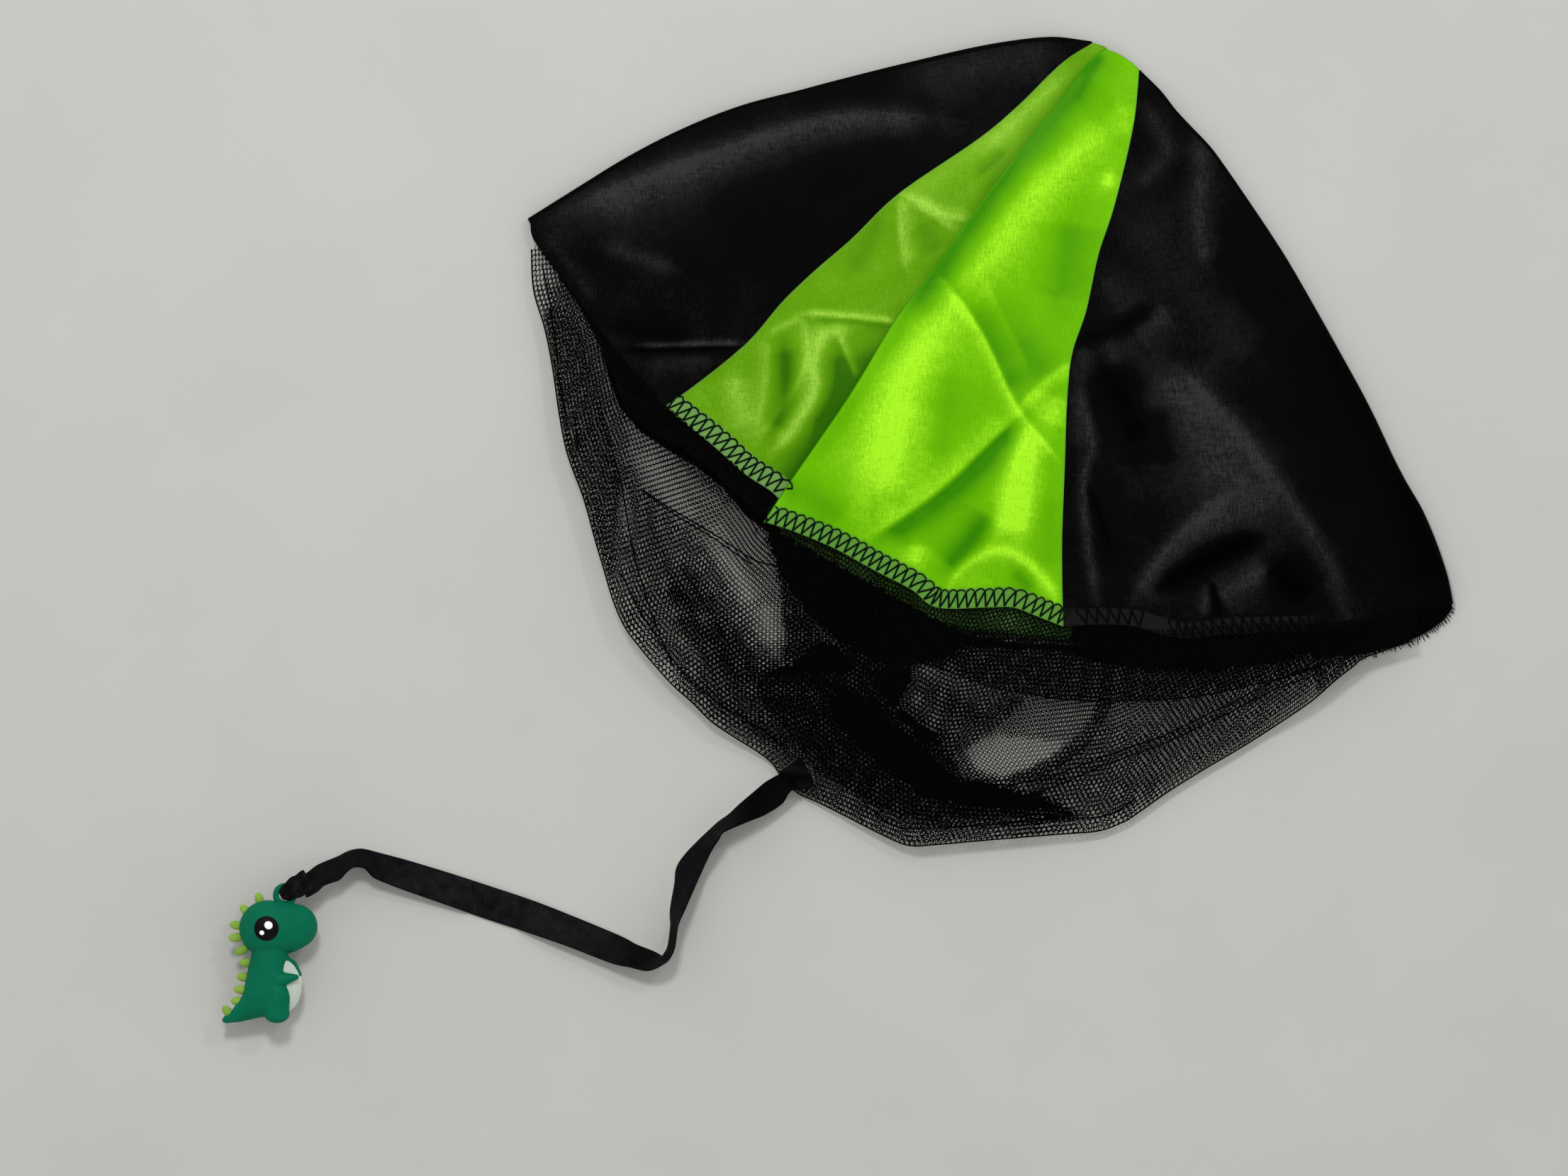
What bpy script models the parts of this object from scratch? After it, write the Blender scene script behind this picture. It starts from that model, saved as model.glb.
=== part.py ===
"""Toy parachute, collapsed on a table: satin canopy, tulle skirt, ribbon and a moulded dinosaur charm."""
import math

import bmesh
import bpy
from mathutils import Matrix, Vector

# Driving dimensions, in metres
CANOPY_WIDTH = 0.307  # collapsed canopy, from its left corner to its right corner
CHARM_HEIGHT = 0.0405  # charm, from the crown of the head to the foot
RIBBON_WIDTH = 0.0106  # satin ribbon laid flat
CLOTH_THICKNESS = 0.0006  # satin with its seam allowances
NET_THICKNESS = 0.0005  # tulle, several fine layers
RIBBON_THICKNESS = 0.0005
SEAM_GAP = 0.0003  # clearance between two sewn or seated pieces

# Loft of the collapsed cloth above the table
EDGE_HEIGHT = 0.0036  # middle of the front layer along the canopy's outline
LOFT_HEIGHT = 0.0095  # middle of the front layer well inside the outline
LOFT_REACH = 0.045  # how far inside the outline the loft is full
FOLD_REACH_SHARE = 0.33  # share of that reach at which the folds stand full
APEX_HEIGHT = 0.0014  # front layer where it turns under at the top
APEX_START_SHARE = 0.15  # how far it has risen at the very top
APEX_RISE_SHARE = 0.083  # share of the way to the hem over which it rises
FOLD_HEIGHT = 0.0026  # the tallest fold above the loft
NET_EDGE_HEIGHT = 0.0013  # front half of the skirt along its lower outline
NET_LOFT = 0.0035  # extra loft of the skirt half way down
NET_END_SHARE = 0.125  # share of the skirt's length, at each end, over which that loft grows
PLEAT_STEP = 0.0011  # height from one layer of the pleat to the next
PLEAT_FLAT_SHARE = 0.06  # share of the right facet that lies at the pleat's full height
PLEAT_FALL_SHARE = 0.62  # share of the right facet over which it comes down
PLEAT_EDGE_SHARE = 0.33

# The same spans in the photograph, which is 2212 pixels wide and seen from straight above
CANOPY_WIDTH_PIXELS = 1306.0
CHARM_HEIGHT_PIXELS = 172.0
ORIGIN_PIXELS = (1182.5, 747.5)  # the middle of the object's outline
PIXEL = CANOPY_WIDTH / CANOPY_WIDTH_PIXELS
CHARM_PIXEL = CHARM_HEIGHT / CHARM_HEIGHT_PIXELS

# Canopy outlines, each from the apex to the hem, as pixels of the photograph
LEFT_FOLD_PIXELS = [
    (1530, 57), (1460, 55), (1383, 66), (1272, 91), (1139, 124), (1006, 160), (874, 227), (745, 310)]
LEFT_SEAM_PIXELS = [
    (1541, 66), (1488, 104), (1437, 148), (1380, 196), (1268, 273), (1201, 337), (1150, 381), (1103, 426),
    (1055, 482), (988, 537), (936, 574)]
PLEAT_PIXELS = [
    (1564, 77), (1522, 108), (1454, 192), (1375, 297), (1312, 385), (1262, 452), (1214, 532), (1179, 586),
    (1112, 683), (1077, 737)]
UNDER_FOLD_PIXELS = [
    (1573, 87), (1538, 122), (1480, 205), (1405, 312), (1347, 402), (1300, 470), (1256, 550), (1218, 604),
    (1155, 692), (1120, 734)]
RIGHT_SEAM_PIXELS = [
    (1607, 102), (1601, 175), (1589, 223), (1569, 300), (1549, 361), (1532, 439), (1512, 500), (1505, 566),
    (1502, 649), (1498, 770), (1500, 884)]
RIGHT_FOLD_PIXELS = [
    (1618, 106), (1661, 160), (1716, 218), (1798, 341), (1886, 489), (1955, 628), (2007, 714), (2034, 780),
    (2051, 852)]
BACK_LEFT_SEAM_PIXELS = [(1560, 100), (1460, 270), (1320, 460), (1190, 630), (1088, 754)]
BACK_RIGHT_SEAM_PIXELS = [(1592, 122), (1602, 300), (1580, 520), (1545, 720), (1510, 905)]

# Hems, each from left to right
LEFT_BLACK_HEM_PIXELS = [(745, 310), (753, 338), (785, 384), (839, 461), (900, 530), (936, 574)]
LEFT_GREEN_HEM_PIXELS = [(936, 574), (1000, 624), (1050, 668), (1095, 698), (1120, 734)]
RIGHT_GREEN_HEM_PIXELS = [
    (1077, 737), (1118, 750), (1179, 775), (1232, 804), (1286, 832), (1321, 857), (1393, 857), (1429, 857),
    (1464, 870), (1500, 884)]
RIGHT_BLACK_HEM_PIXELS = [
    (1500, 884), (1590, 876), (1656, 884), (1727, 878), (1864, 880), (1960, 884), (2051, 852)]
BACK_LEFT_HEM_PIXELS = [
    (745, 310), (787, 380), (838, 465), (862, 540), (885, 592), (944, 636), (1000, 670), (1042, 712),
    (1060, 740), (1088, 754)]
BACK_GREEN_HEM_PIXELS = [(1088, 754), (1150, 790), (1230, 835), (1320, 884), (1400, 896), (1510, 905)]
BACK_RIGHT_HEM_PIXELS = [
    (2051, 852), (2034, 880), (1992, 898), (1926, 914), (1800, 922), (1700, 925), (1600, 920), (1510, 905)]

# Skirt: its lower outline from left to right, and the line along which each half is sewn
NET_OUTLINE_PIXELS = [
    (752, 366), (755, 409), (774, 509), (796, 619), (821, 700), (850, 799), (888, 899), (934, 956),
    (988, 998), (1045, 1044), (1097, 1083), (1126, 1117), (1179, 1148), (1287, 1190), (1431, 1182),
    (1529, 1176), (1581, 1163), (1692, 1092), (1784, 1037), (1854, 988), (1926, 930), (1990, 905)]
NET_FRONT_SEAM_PIXELS = [
    (757, 354), (779, 387), (833, 465), (895, 535), (931, 578), (996, 628), (1046, 672), (1070, 700),
    (1066, 735), (1077, 742), (1118, 755), (1179, 780), (1232, 809), (1286, 838), (1321, 863),
    (1393, 863), (1429, 863), (1464, 875), (1500, 889), (1590, 882), (1656, 890), (1727, 884),
    (1864, 886), (1985, 896)]
NET_BACK_SEAM_PIXELS = [
    (756, 350), (780, 386), (831, 470), (855, 544), (878, 598), (940, 643), (995, 677), (1035, 718),
    (1055, 747), (1085, 762), (1147, 798), (1227, 843), (1318, 892), (1399, 904), (1509, 913),
    (1600, 928), (1700, 933), (1800, 930), (1926, 922), (1984, 908)]

# Main folds: start, end, height as a share of FOLD_HEIGHT, half width in pixels
FOLD_SHARES = [
    ((1268, 273), (1366, 310), 0.35, 28),
    ((1150, 444), (1262, 454), 0.45, 26),
    ((1150, 450), (1075, 600), 0.35, 30),
    ((1210, 470), (1150, 620), 0.35, 30),
    ((1333, 398), (1489, 640), 0.55, 34),
    ((1500, 600), (1300, 800), 0.60, 38),
    ((1400, 640), (1400, 830), 0.45, 34),
    ((915, 490), (1045, 486), 0.55, 26),
    ((840, 325), (1300, 150), 1.00, 60),
    ((1000, 420), (1330, 190), 0.35, 50),
    ((1610, 150), (1700, 330), 0.60, 40),
    ((1545, 500), (1890, 860), 1.00, 60),
    ((1530, 560), (1600, 870), 0.50, 34),
    ((1690, 640), (1700, 870), 0.50, 36),
    ((1850, 560), (1930, 850), 0.60, 42)]

# Folds of the skirt, from its sewn edge to its lower outline: share along each, and a height share
NET_FOLD_SHARES = [
    (0.10, 0.12, 0.5), (0.20, 0.28, 0.8), (0.30, 0.40, 0.6), (0.42, 0.47, 0.9), (0.55, 0.52, 0.7),
    (0.66, 0.60, 1.0), (0.78, 0.72, 0.6), (0.88, 0.84, 0.8)]
NET_FOLD_WIDTH_SHARE = 0.03

# Grid steps of the cloth: along the gore, and across each of its layers
GORE_ROWS = 17
OUTLINE_STEPS = 16
HAIRPIN_STEPS = 4
PLEAT_HAIRPIN_STEPS = 3
GREEN_STEPS = (7, 2, 11)  # left facet, middle of the pleat, right facet
LEFT_BLACK_STEPS = (9, 6)  # front, back
RIGHT_BLACK_STEPS = (10, 5)
BACK_GREEN_STEPS = (12, 12)
NET_FRONT_STEPS = (30, 9)
NET_BACK_STEPS = (24, 5)
SLOPE_STEP_SHARE = 0.01  # share of a path over which its direction is read

# Ribbon: route from the tab to the charm, as points in metres on the table, each with its lean in degrees
RIBBON_ROUTE = [
    (-0.01822, -0.08382, 3), (-0.0243, -0.0876, 22), (-0.0290, -0.0906, 42), (-0.0330, -0.0932, 62),
    (-0.0394, -0.0980, 88), (-0.0448, -0.1058, 118), (-0.0495, -0.1117, 138), (-0.0524, -0.1166, 136),
    (-0.0531, -0.1213, 124), (-0.0545, -0.1270, 108), (-0.0549, -0.1330, 96), (-0.0562, -0.1385, 72),
    (-0.0598, -0.1424, 44), (-0.0660, -0.1434, 20), (-0.0725, -0.1421, 8), (-0.0807, -0.1378, 3),
    (-0.0987, -0.1305, 0), (-0.1168, -0.1236, 0), (-0.1300, -0.1190, 4), (-0.1408, -0.1163, 12),
    (-0.1510, -0.1120, 34), (-0.1556, -0.1100, 50), (-0.1596, -0.1091, 56), (-0.1630, -0.1101, 50),
    (-0.1662, -0.1120, 40), (-0.1698, -0.1142, 32), (-0.1735, -0.1165, 18), (-0.1773, -0.1183, 3)]
RIBBON_LIFT_SHARES = (0.78, 0.97)  # where the ribbon starts to climb towards the eyelet, along its length
RIBBON_GATHER_SHARE = 0.10  # the last share of its length over which it is drawn in
RIBBON_TAB_SHARE = 0.083  # the first share of its length, over which it comes down from the tab
RIBBON_STEPS = 66
RIBBON_ACROSS = 3

# Tab at the skirt's tip
TAB_PIXELS = (1119, 1096)
TAB_LENGTH = 0.0070
TAB_WIDTH = 0.0098
TAB_THICKNESS = 0.0012
TAB_TURN = math.radians(-150.0)
TAB_ROUNDING = 0.0003

# Charm: depth sizes, and the eyelet that the ribbon goes through
CHARM_MIDPLANE = 0.0089  # height of the figure's plane of symmetry above the table
EYELET_PIXELS = (403, 1262)
EYELET_HOLE_RADIUS = 0.0020
EYELET_WIRE_RADIUS = 0.0010
LOOP_WIDTH = 0.0030  # the gathered ribbon in the eyelet
LOOP_REACH = 0.0062  # from the middle of the hole to where the two plies meet
LOOP_TURN = math.radians(24.0)
LOOP_NOSE_SHARE = 0.7  # how flat the loop's bend in the eyelet is
RING_FACETS = (24, 8)
VOXEL = 0.00065  # grain of the moulded body
BODY_SMOOTHING = 5
BODY_FACE_SHARE = 0.16  # share of the faces that is kept on the moulded body

# Masses: middle and half sizes in pixels, half depth and offset in depth as shares, turn in degrees
HEAD_DEPTH = 0.0085
BODY_DEPTH_SHARE = 0.8
BODY_DEPTH = HEAD_DEPTH * BODY_DEPTH_SHARE
HEAD_MASS_SHARES = [
    ((379, 1309), (40.5, 40), 1.0, 0, 0),
    ((403, 1308), (36, 36.5), 0.90, 0, 0),
    ((416, 1308), (34, 32.5), 0.82, 0, 0)]
BODY_MASS_SHARES = [
    ((381, 1352), (25, 22), 0.88, 0, 0),
    ((379, 1376), (31, 30), 0.96, 0, 0),
    ((377, 1401), (34, 33), 1.0, 0, 0),
    ((357, 1418), (25, 20), 0.66, 0, 20),
    ((341, 1429), (19, 12), 0.42, 0, 20),
    ((328, 1435), (14, 8), 0.30, 0, 15)]
LIMB_MASS_SHARES = [
    ((389, 1419), (18, 24), 0.46, 0.62, 0),
    ((395, 1433), (15, 9), 0.42, 0.62, 0),
    ((403, 1379), (22, 11), 0.32, 0.80, 6)]
BELLY_MASS_SHARES = [((401, 1387), (26, 40), 0.80, 0, 0)]
# Back spikes: the root's middle in the back's line, and the way each points, in degrees from the right
SPIKES = [
    ((368, 1272), 105), ((351, 1286), 140), ((339, 1305), 170), ((338, 1321), 188), ((346, 1338), 205),
    ((353, 1357), 182), ((349, 1377), 180), ((345, 1395), 178), ((341, 1412), 172), ((325, 1429), 130)]
SPIKE_HALF_PIXELS = (11.0, 6.4)
SPIKE_DEPTH = 0.0015
SPIKE_STAND_SHARE = 0.30  # how far the spike's middle stands out of its root, as a share of its half length
EYE_PIXELS = (376, 1308)
EYE_RADIUS = 0.0040
EYE_BULGE = 0.0010  # half the thickness of the eye's lens
EYE_SET_BACK = 0.0008  # from the side of the head to the middle of the lens
GLINT_PIXELS = [(378, 1304), (370, 1314)]
GLINT_RADII = [0.00140, 0.00085]
GLINT_BULGE = 0.00035
GLINT_SET_SHARE = 0.7  # how deep a glint sits in the eye, as a share of its bulge
SEAT_GAP = 0.00012  # clearance round each insert of the charm
BODY_FACETS = (24, 14)
BELLY_FACETS = (18, 12)
SPIKE_FACETS = (10, 8)
EYE_FACETS = (20, 8)
GLINT_FACETS = (10, 6)


def clear_scene():
    for obj in list(bpy.data.objects):
        bpy.data.objects.remove(obj, do_unlink=True)


def new_collection(name):
    collection = bpy.data.collections.new(name)
    bpy.context.scene.collection.children.link(collection)
    return collection


def material(name, colour, roughness, metallic=0.0):
    made = bpy.data.materials.new(name)
    made.use_nodes = True
    shader = made.node_tree.nodes["Principled BSDF"]
    shader.inputs["Base Color"].default_value = (*colour, 1.0)
    shader.inputs["Roughness"].default_value = roughness
    shader.inputs["Metallic"].default_value = metallic
    made.diffuse_color = (*colour, 1.0)
    return made


def table_point(pixels):
    return Vector(((pixels[0] - ORIGIN_PIXELS[0]) * PIXEL, (ORIGIN_PIXELS[1] - pixels[1]) * PIXEL))


def table_points(pixel_list):
    return [table_point(pixels) for pixels in pixel_list]


class Path:
    """A smooth curve through hand-picked points, read by the share of its length."""

    def __init__(self, points, steps=8):
        last = len(points) - 1
        self.dense = []
        for i in range(last):
            start, end = points[i], points[i + 1]
            before, after = points[max(i - 1, 0)], points[min(i + 2, last)]
            for k in range(steps):
                t = k / steps
                pull = end - before if i else end - start
                push = after - start if i + 2 <= last else end - start
                rise = 3 * t ** 2 - 2 * t ** 3
                self.dense.append(start.lerp(end, rise) + (t ** 3 - 2 * t ** 2 + t) / 2 * pull
                                  + (t ** 3 - t ** 2) / 2 * push)
        self.dense.append(points[last].copy())
        self.reach = [0.0]
        for a, b in zip(self.dense, self.dense[1:]):
            self.reach.append(self.reach[-1] + (b - a).length)

    def at(self, share):
        wanted = min(max(share, 0.0), 1.0) * self.reach[-1]
        for i in range(len(self.reach) - 1):
            if wanted <= self.reach[i + 1] or i == len(self.reach) - 2:
                span = self.reach[i + 1] - self.reach[i]
                return self.dense[i].lerp(self.dense[i + 1], (wanted - self.reach[i]) / span if span else 0.0)

    def normal(self, share):
        """Unit vector to the left of the path's direction."""
        along = self.at(share + SLOPE_STEP_SHARE) - self.at(share - SLOPE_STEP_SHARE)
        return Vector((-along.y, along.x)).normalized()


def shifted(pixel_list, distance):
    """A path beside the given points, to the left of their direction."""
    path = Path(table_points(pixel_list))
    count = len(pixel_list) * 2
    shares = [i / count for i in range(count + 1)]
    return Path([path.at(share) + path.normal(share) * distance for share in shares], 3)


def coons(left, right, top, bottom, u, v):
    """Point of a patch between four paths; left and right run down it, top and bottom run across it."""
    sides = left.at(u).lerp(right.at(u), v)
    ends = top.at(v).lerp(bottom.at(v), u)
    corners = left.at(0).lerp(right.at(0), v).lerp(left.at(1).lerp(right.at(1), v), u)
    return sides + ends - corners


def smooth_step(value):
    value = min(max(value, 0.0), 1.0)
    return value * value * (3 - 2 * value)


def distance_to_segment(point, start, end):
    span = end - start
    share = min(max((point - start).dot(span) / span.length_squared, 0.0), 1.0)
    return (point - start - span * share).length


def folds(point):
    """Height that the main folds add over a place on the table."""
    height = 0.0
    for start, end, share, half_width in FOLD_SHARES:
        away = distance_to_segment(point, table_point(start), table_point(end)) / (half_width * PIXEL)
        height += share * FOLD_HEIGHT * math.exp(-away * away)
    return height


def canopy_rim():
    """The canopy's outline, as one list of table points."""
    rim = Path(table_points(LEFT_FOLD_PIXELS)).dense + Path(table_points(LEFT_BLACK_HEM_PIXELS)).dense
    rim += Path(table_points(LEFT_GREEN_HEM_PIXELS[:-1])).dense
    rim += Path(table_points(RIGHT_GREEN_HEM_PIXELS)).dense
    rim += Path(table_points(RIGHT_BLACK_HEM_PIXELS)).dense + Path(table_points(RIGHT_FOLD_PIXELS)).dense[::-1]
    return rim


def front_height(point, rim):
    """Height of the middle of the front layer over a place on the table."""
    near = min(distance_to_segment(point, a, b) for a, b in zip(rim, rim[1:]) if (b - a).length > 0)
    full = smooth_step(near / LOFT_REACH)
    height = EDGE_HEIGHT + (LOFT_HEIGHT - EDGE_HEIGHT) * full
    return height + folds(point) * smooth_step(near / (LOFT_REACH * FOLD_REACH_SHARE))


def apex_share(u):
    """How far the cloth has risen from its turned-under apex, at a share of the way to the hem."""
    return smooth_step(u / APEX_RISE_SHARE + APEX_START_SHARE)


def cloth_object(name, columns, rows, place, thickness, colour_material, collection):
    """A grid whose places come from place(column, row share), given its thickness by Solidify."""
    bm = bmesh.new()
    bmesh.ops.create_grid(bm, x_segments=columns, y_segments=rows, size=0.5)
    for vertex in bm.verts:
        column = round((vertex.co.x + 0.5) * columns)
        vertex.co = place(column, vertex.co.y + 0.5)
    return finish_object(name, bm, colour_material, collection, thickness)


def finish_object(name, bm, colour_material, collection, thickness=0.0):
    mesh = bpy.data.meshes.new(name)
    bm.to_mesh(mesh)
    bm.free()
    mesh.materials.append(colour_material)
    mesh.shade_smooth()
    obj = bpy.data.objects.new(name, mesh)
    collection.objects.link(obj)
    if thickness:
        solid = obj.modifiers.new("thickness", "SOLIDIFY")
        solid.thickness = thickness
        solid.offset = 0.0
    return obj


def front_green_gore(collection, colour_material, rim):
    """Front gore with a lengthwise pleat: the right facet folds under and back out to the left facet."""
    seam = shifted(LEFT_SEAM_PIXELS, SEAM_GAP / 2)
    seam_right = shifted(RIGHT_SEAM_PIXELS, -SEAM_GAP / 2)
    pleat = Path(table_points(PLEAT_PIXELS))
    under = Path(table_points(UNDER_FOLD_PIXELS))
    left_hem = Path([seam.at(1)] + table_points(LEFT_GREEN_HEM_PIXELS[1:]))
    right_hem = Path(table_points(RIGHT_GREEN_HEM_PIXELS[:-1]) + [seam_right.at(1)])
    left_top = Path([seam.at(0), under.at(0)])
    right_top = Path([pleat.at(0), seam_right.at(0)])
    left_steps, middle_steps, right_steps = GREEN_STEPS
    stations = [("left", i / left_steps) for i in range(left_steps + 1)]
    stations += [("turn_right", (i + 1) / (PLEAT_HAIRPIN_STEPS + 1)) for i in range(PLEAT_HAIRPIN_STEPS)]
    stations += [("middle", i / middle_steps) for i in range(middle_steps + 1)]
    stations += [("turn_left", (i + 1) / (PLEAT_HAIRPIN_STEPS + 1)) for i in range(PLEAT_HAIRPIN_STEPS)]
    stations += [("right", i / right_steps) for i in range(right_steps + 1)]

    def place(column, u):
        kind, share = stations[column]
        fold, turn = pleat.at(u), under.at(u)
        across = (turn - fold).normalized()
        radius = PLEAT_STEP / 2
        if kind == "left":
            flat = coons(seam, under, left_top, left_hem, u, share)
            flat -= across * radius * smooth_step(share * 2 - 1)
            level = 0.0
        elif kind == "turn_right":
            flat = turn - across * radius + across * radius * math.sin(math.pi * share)
            level = radius * (1 - math.cos(math.pi * share))
        elif kind == "middle":
            flat = (turn - across * radius).lerp(fold + across * radius, share)
            level = PLEAT_STEP
        elif kind == "turn_left":
            flat = fold + across * radius - across * radius * math.sin(math.pi * share)
            level = PLEAT_STEP + radius * (1 - math.cos(math.pi * share))
        else:
            flat = coons(pleat, seam_right, right_top, right_hem, u, share)
            flat += across * radius * (1 - smooth_step(share / PLEAT_EDGE_SHARE))
            level = 2 * PLEAT_STEP * (1 - smooth_step((share - PLEAT_FLAT_SHARE) / PLEAT_FALL_SHARE))
        if kind in ("left", "right"):
            height = front_height(flat, rim)
        else:
            height = front_height(fold, rim)
            height += (front_height(turn, rim) - height) * (flat - fold).length / (turn - fold).length
        height = APEX_HEIGHT + (height - APEX_HEIGHT) * apex_share(u)
        return Vector((flat.x, flat.y, height + level))

    return cloth_object("canopy_gore_front_green", len(stations) - 1, GORE_ROWS, place, CLOTH_THICKNESS,
                        colour_material, collection)


def folded_gore(name, collection, colour_material, rim, seam, fold_pixels, hem_pixels, back_seam,
                back_hem_pixels, side, steps):
    """A black gore: from its seam on the front, round the fold, to its seam on the underside."""
    outline = Path(table_points(fold_pixels))
    front_steps, back_steps = steps
    back_level = CLOTH_THICKNESS / 2
    widest = (EDGE_HEIGHT - back_level) / 2
    stations = [("front", i / front_steps) for i in range(front_steps + 1)]
    stations += [("turn", (i + 1) / (HAIRPIN_STEPS + 1)) for i in range(HAIRPIN_STEPS)]
    stations += [("back", i / back_steps) for i in range(back_steps + 1)]
    shares = [i / OUTLINE_STEPS for i in range(OUTLINE_STEPS + 1)]
    inner = Path([outline.at(share) + outline.normal(share) * side * widest for share in shares], 2)
    hem_points = [inner.at(1)] + table_points(hem_pixels[1:-1]) + [seam.at(1)]
    hem = Path(hem_points)
    top = Path([inner.at(0), seam.at(0)])
    back_hem = Path([inner.at(1)] + table_points(back_hem_pixels[1:-1]) + [back_seam.at(1)])
    back_top = Path([inner.at(0), back_seam.at(0)])

    def place(column, u):
        kind, share = stations[column]
        risen = apex_share(u)
        edge = APEX_HEIGHT + (EDGE_HEIGHT - APEX_HEIGHT) * risen
        radius = (edge - back_level) / 2
        if kind == "front":
            flat = coons(inner, seam, top, hem, u, 1 - share)
            height = APEX_HEIGHT + (front_height(flat, rim) - APEX_HEIGHT) * risen
            return Vector((flat.x, flat.y, height if share < 1 else edge))
        if kind == "turn":
            flat = inner.at(u) - inner.normal(u) * side * widest * math.sin(math.pi * share)
            return Vector((flat.x, flat.y, back_level + radius * (1 + math.cos(math.pi * share))))
        flat = coons(inner, back_seam, back_top, back_hem, u, share)
        return Vector((flat.x, flat.y, back_level))

    return cloth_object(name, len(stations) - 1, GORE_ROWS, place, CLOTH_THICKNESS, colour_material,
                        collection)


def back_green_gore(collection, colour_material):
    """The hidden gore, flat on the table between the two back seams."""
    left = shifted(BACK_LEFT_SEAM_PIXELS, SEAM_GAP / 2)
    right = shifted(BACK_RIGHT_SEAM_PIXELS, -SEAM_GAP / 2)
    top = Path([left.at(0), right.at(0)])
    bottom = Path([left.at(1)] + table_points(BACK_GREEN_HEM_PIXELS[1:-1]) + [right.at(1)])
    columns, rows = BACK_GREEN_STEPS

    def place(column, u):
        flat = coons(left, right, top, bottom, u, column / columns)
        return Vector((flat.x, flat.y, CLOTH_THICKNESS / 2))

    return cloth_object("canopy_gore_back_green", columns, rows, place, CLOTH_THICKNESS, colour_material,
                        collection)


def net_half(name, collection, colour_material, seam_pixels, steps, height):
    """One half of the skirt, from its sewn edge to the lower outline."""
    columns, rows = steps
    seam = Path(table_points(seam_pixels))
    outline = Path(table_points(NET_OUTLINE_PIXELS))

    def place(column, u):
        share = column / columns
        flat = seam.at(share).lerp(outline.at(share), u)
        return Vector((flat.x, flat.y, height(flat, seam.at(share), share, u)))

    return cloth_object(name, columns, rows, place, NET_THICKNESS, colour_material, collection)


def net_front_height(rim):
    tab = table_point(TAB_PIXELS)

    def height(flat, sewn, share, u):
        base = front_height(sewn, rim) * (1 - u) + NET_EDGE_HEIGHT * u
        swell = math.sin(math.pi * u) * smooth_step(min(share, 1 - share) / NET_END_SHARE)
        waves = 0.0
        for start, end, fold_share in NET_FOLD_SHARES:
            away = (share - start - (end - start) * u) / NET_FOLD_WIDTH_SHARE
            waves += fold_share * FOLD_HEIGHT * math.exp(-away * away)
        free = smooth_step(((flat - tab).length - TAB_WIDTH) / (2 * TAB_WIDTH))
        return NET_EDGE_HEIGHT + (base - NET_EDGE_HEIGHT + (NET_LOFT + waves) * swell) * free
    return height


def ribbon_object(collection, colour_material):
    """The free stretch of ribbon: a flat strip that leans and turns along its route."""
    route = Path([Vector(point) for point in RIBBON_ROUTE], 6)
    eyelet = charm_point(EYELET_PIXELS)

    def place(column, u):
        along = route.at(u + SLOPE_STEP_SHARE) - route.at(u - SLOPE_STEP_SHARE)
        x, y, lean = route.at(u)
        lean = math.radians(lean)
        gather = smooth_step((u - 1 + RIBBON_GATHER_SHARE) / RIBBON_GATHER_SHARE)
        half = (RIBBON_WIDTH + (LOOP_WIDTH - RIBBON_WIDTH) * gather) / 2
        side = Vector((-along.y, along.x)).normalized()
        climb = smooth_step((u - RIBBON_LIFT_SHARES[0]) / (RIBBON_LIFT_SHARES[1] - RIBBON_LIFT_SHARES[0]))
        rest = half * abs(math.sin(lean)) + RIBBON_THICKNESS
        at_tab = NET_EDGE_HEIGHT + NET_THICKNESS + SEAM_GAP + TAB_THICKNESS / 2
        middle = max(rest, at_tab * (1 - smooth_step(u / RIBBON_TAB_SHARE)))
        middle += (max(eyelet.z, rest) - middle) * climb
        offset = (column / RIBBON_ACROSS - 0.5) * 2 * half
        lean *= 1 - climb
        flat = Vector((x, y)) + side * offset * math.cos(lean)
        return Vector((flat.x, flat.y, middle + offset * math.sin(lean)))

    return cloth_object("ribbon", RIBBON_ACROSS, RIBBON_STEPS, place, RIBBON_THICKNESS, colour_material,
                        collection)


def ribbon_tab(collection, colour_material):
    """The ribbon's end, folded over and sewn on the skirt's tip."""
    bm = bmesh.new()
    bmesh.ops.create_cube(bm, size=1.0)
    bmesh.ops.scale(bm, vec=(TAB_LENGTH, TAB_WIDTH, TAB_THICKNESS), verts=bm.verts)
    bmesh.ops.bevel(bm, geom=bm.edges, offset=TAB_ROUNDING, segments=2, profile=0.5, affect="EDGES",
                    material=-1)
    obj = finish_object("ribbon_tab", bm, colour_material, collection)
    middle = table_point(TAB_PIXELS)
    height = NET_EDGE_HEIGHT + NET_THICKNESS / 2 + TAB_THICKNESS / 2 + 2 * SEAM_GAP
    obj.location = (middle.x, middle.y, height)
    obj.rotation_euler = (0, 0, TAB_TURN)
    return obj


def charm_point(pixels, depth=0.0):
    """Place of a charm feature in the world; the eyelet's place is fixed and the rest follows CHARM_HEIGHT."""
    eyelet = table_point(EYELET_PIXELS)
    return Vector((eyelet.x + (pixels[0] - EYELET_PIXELS[0]) * CHARM_PIXEL,
                   eyelet.y + (EYELET_PIXELS[1] - pixels[1]) * CHARM_PIXEL, CHARM_MIDPLANE + depth))


def masses(mass_shares, whole_depth):
    return [(middle, half, whole_depth * depth, whole_depth * offset, turn)
            for middle, half, depth, offset, turn in mass_shares]


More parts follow.
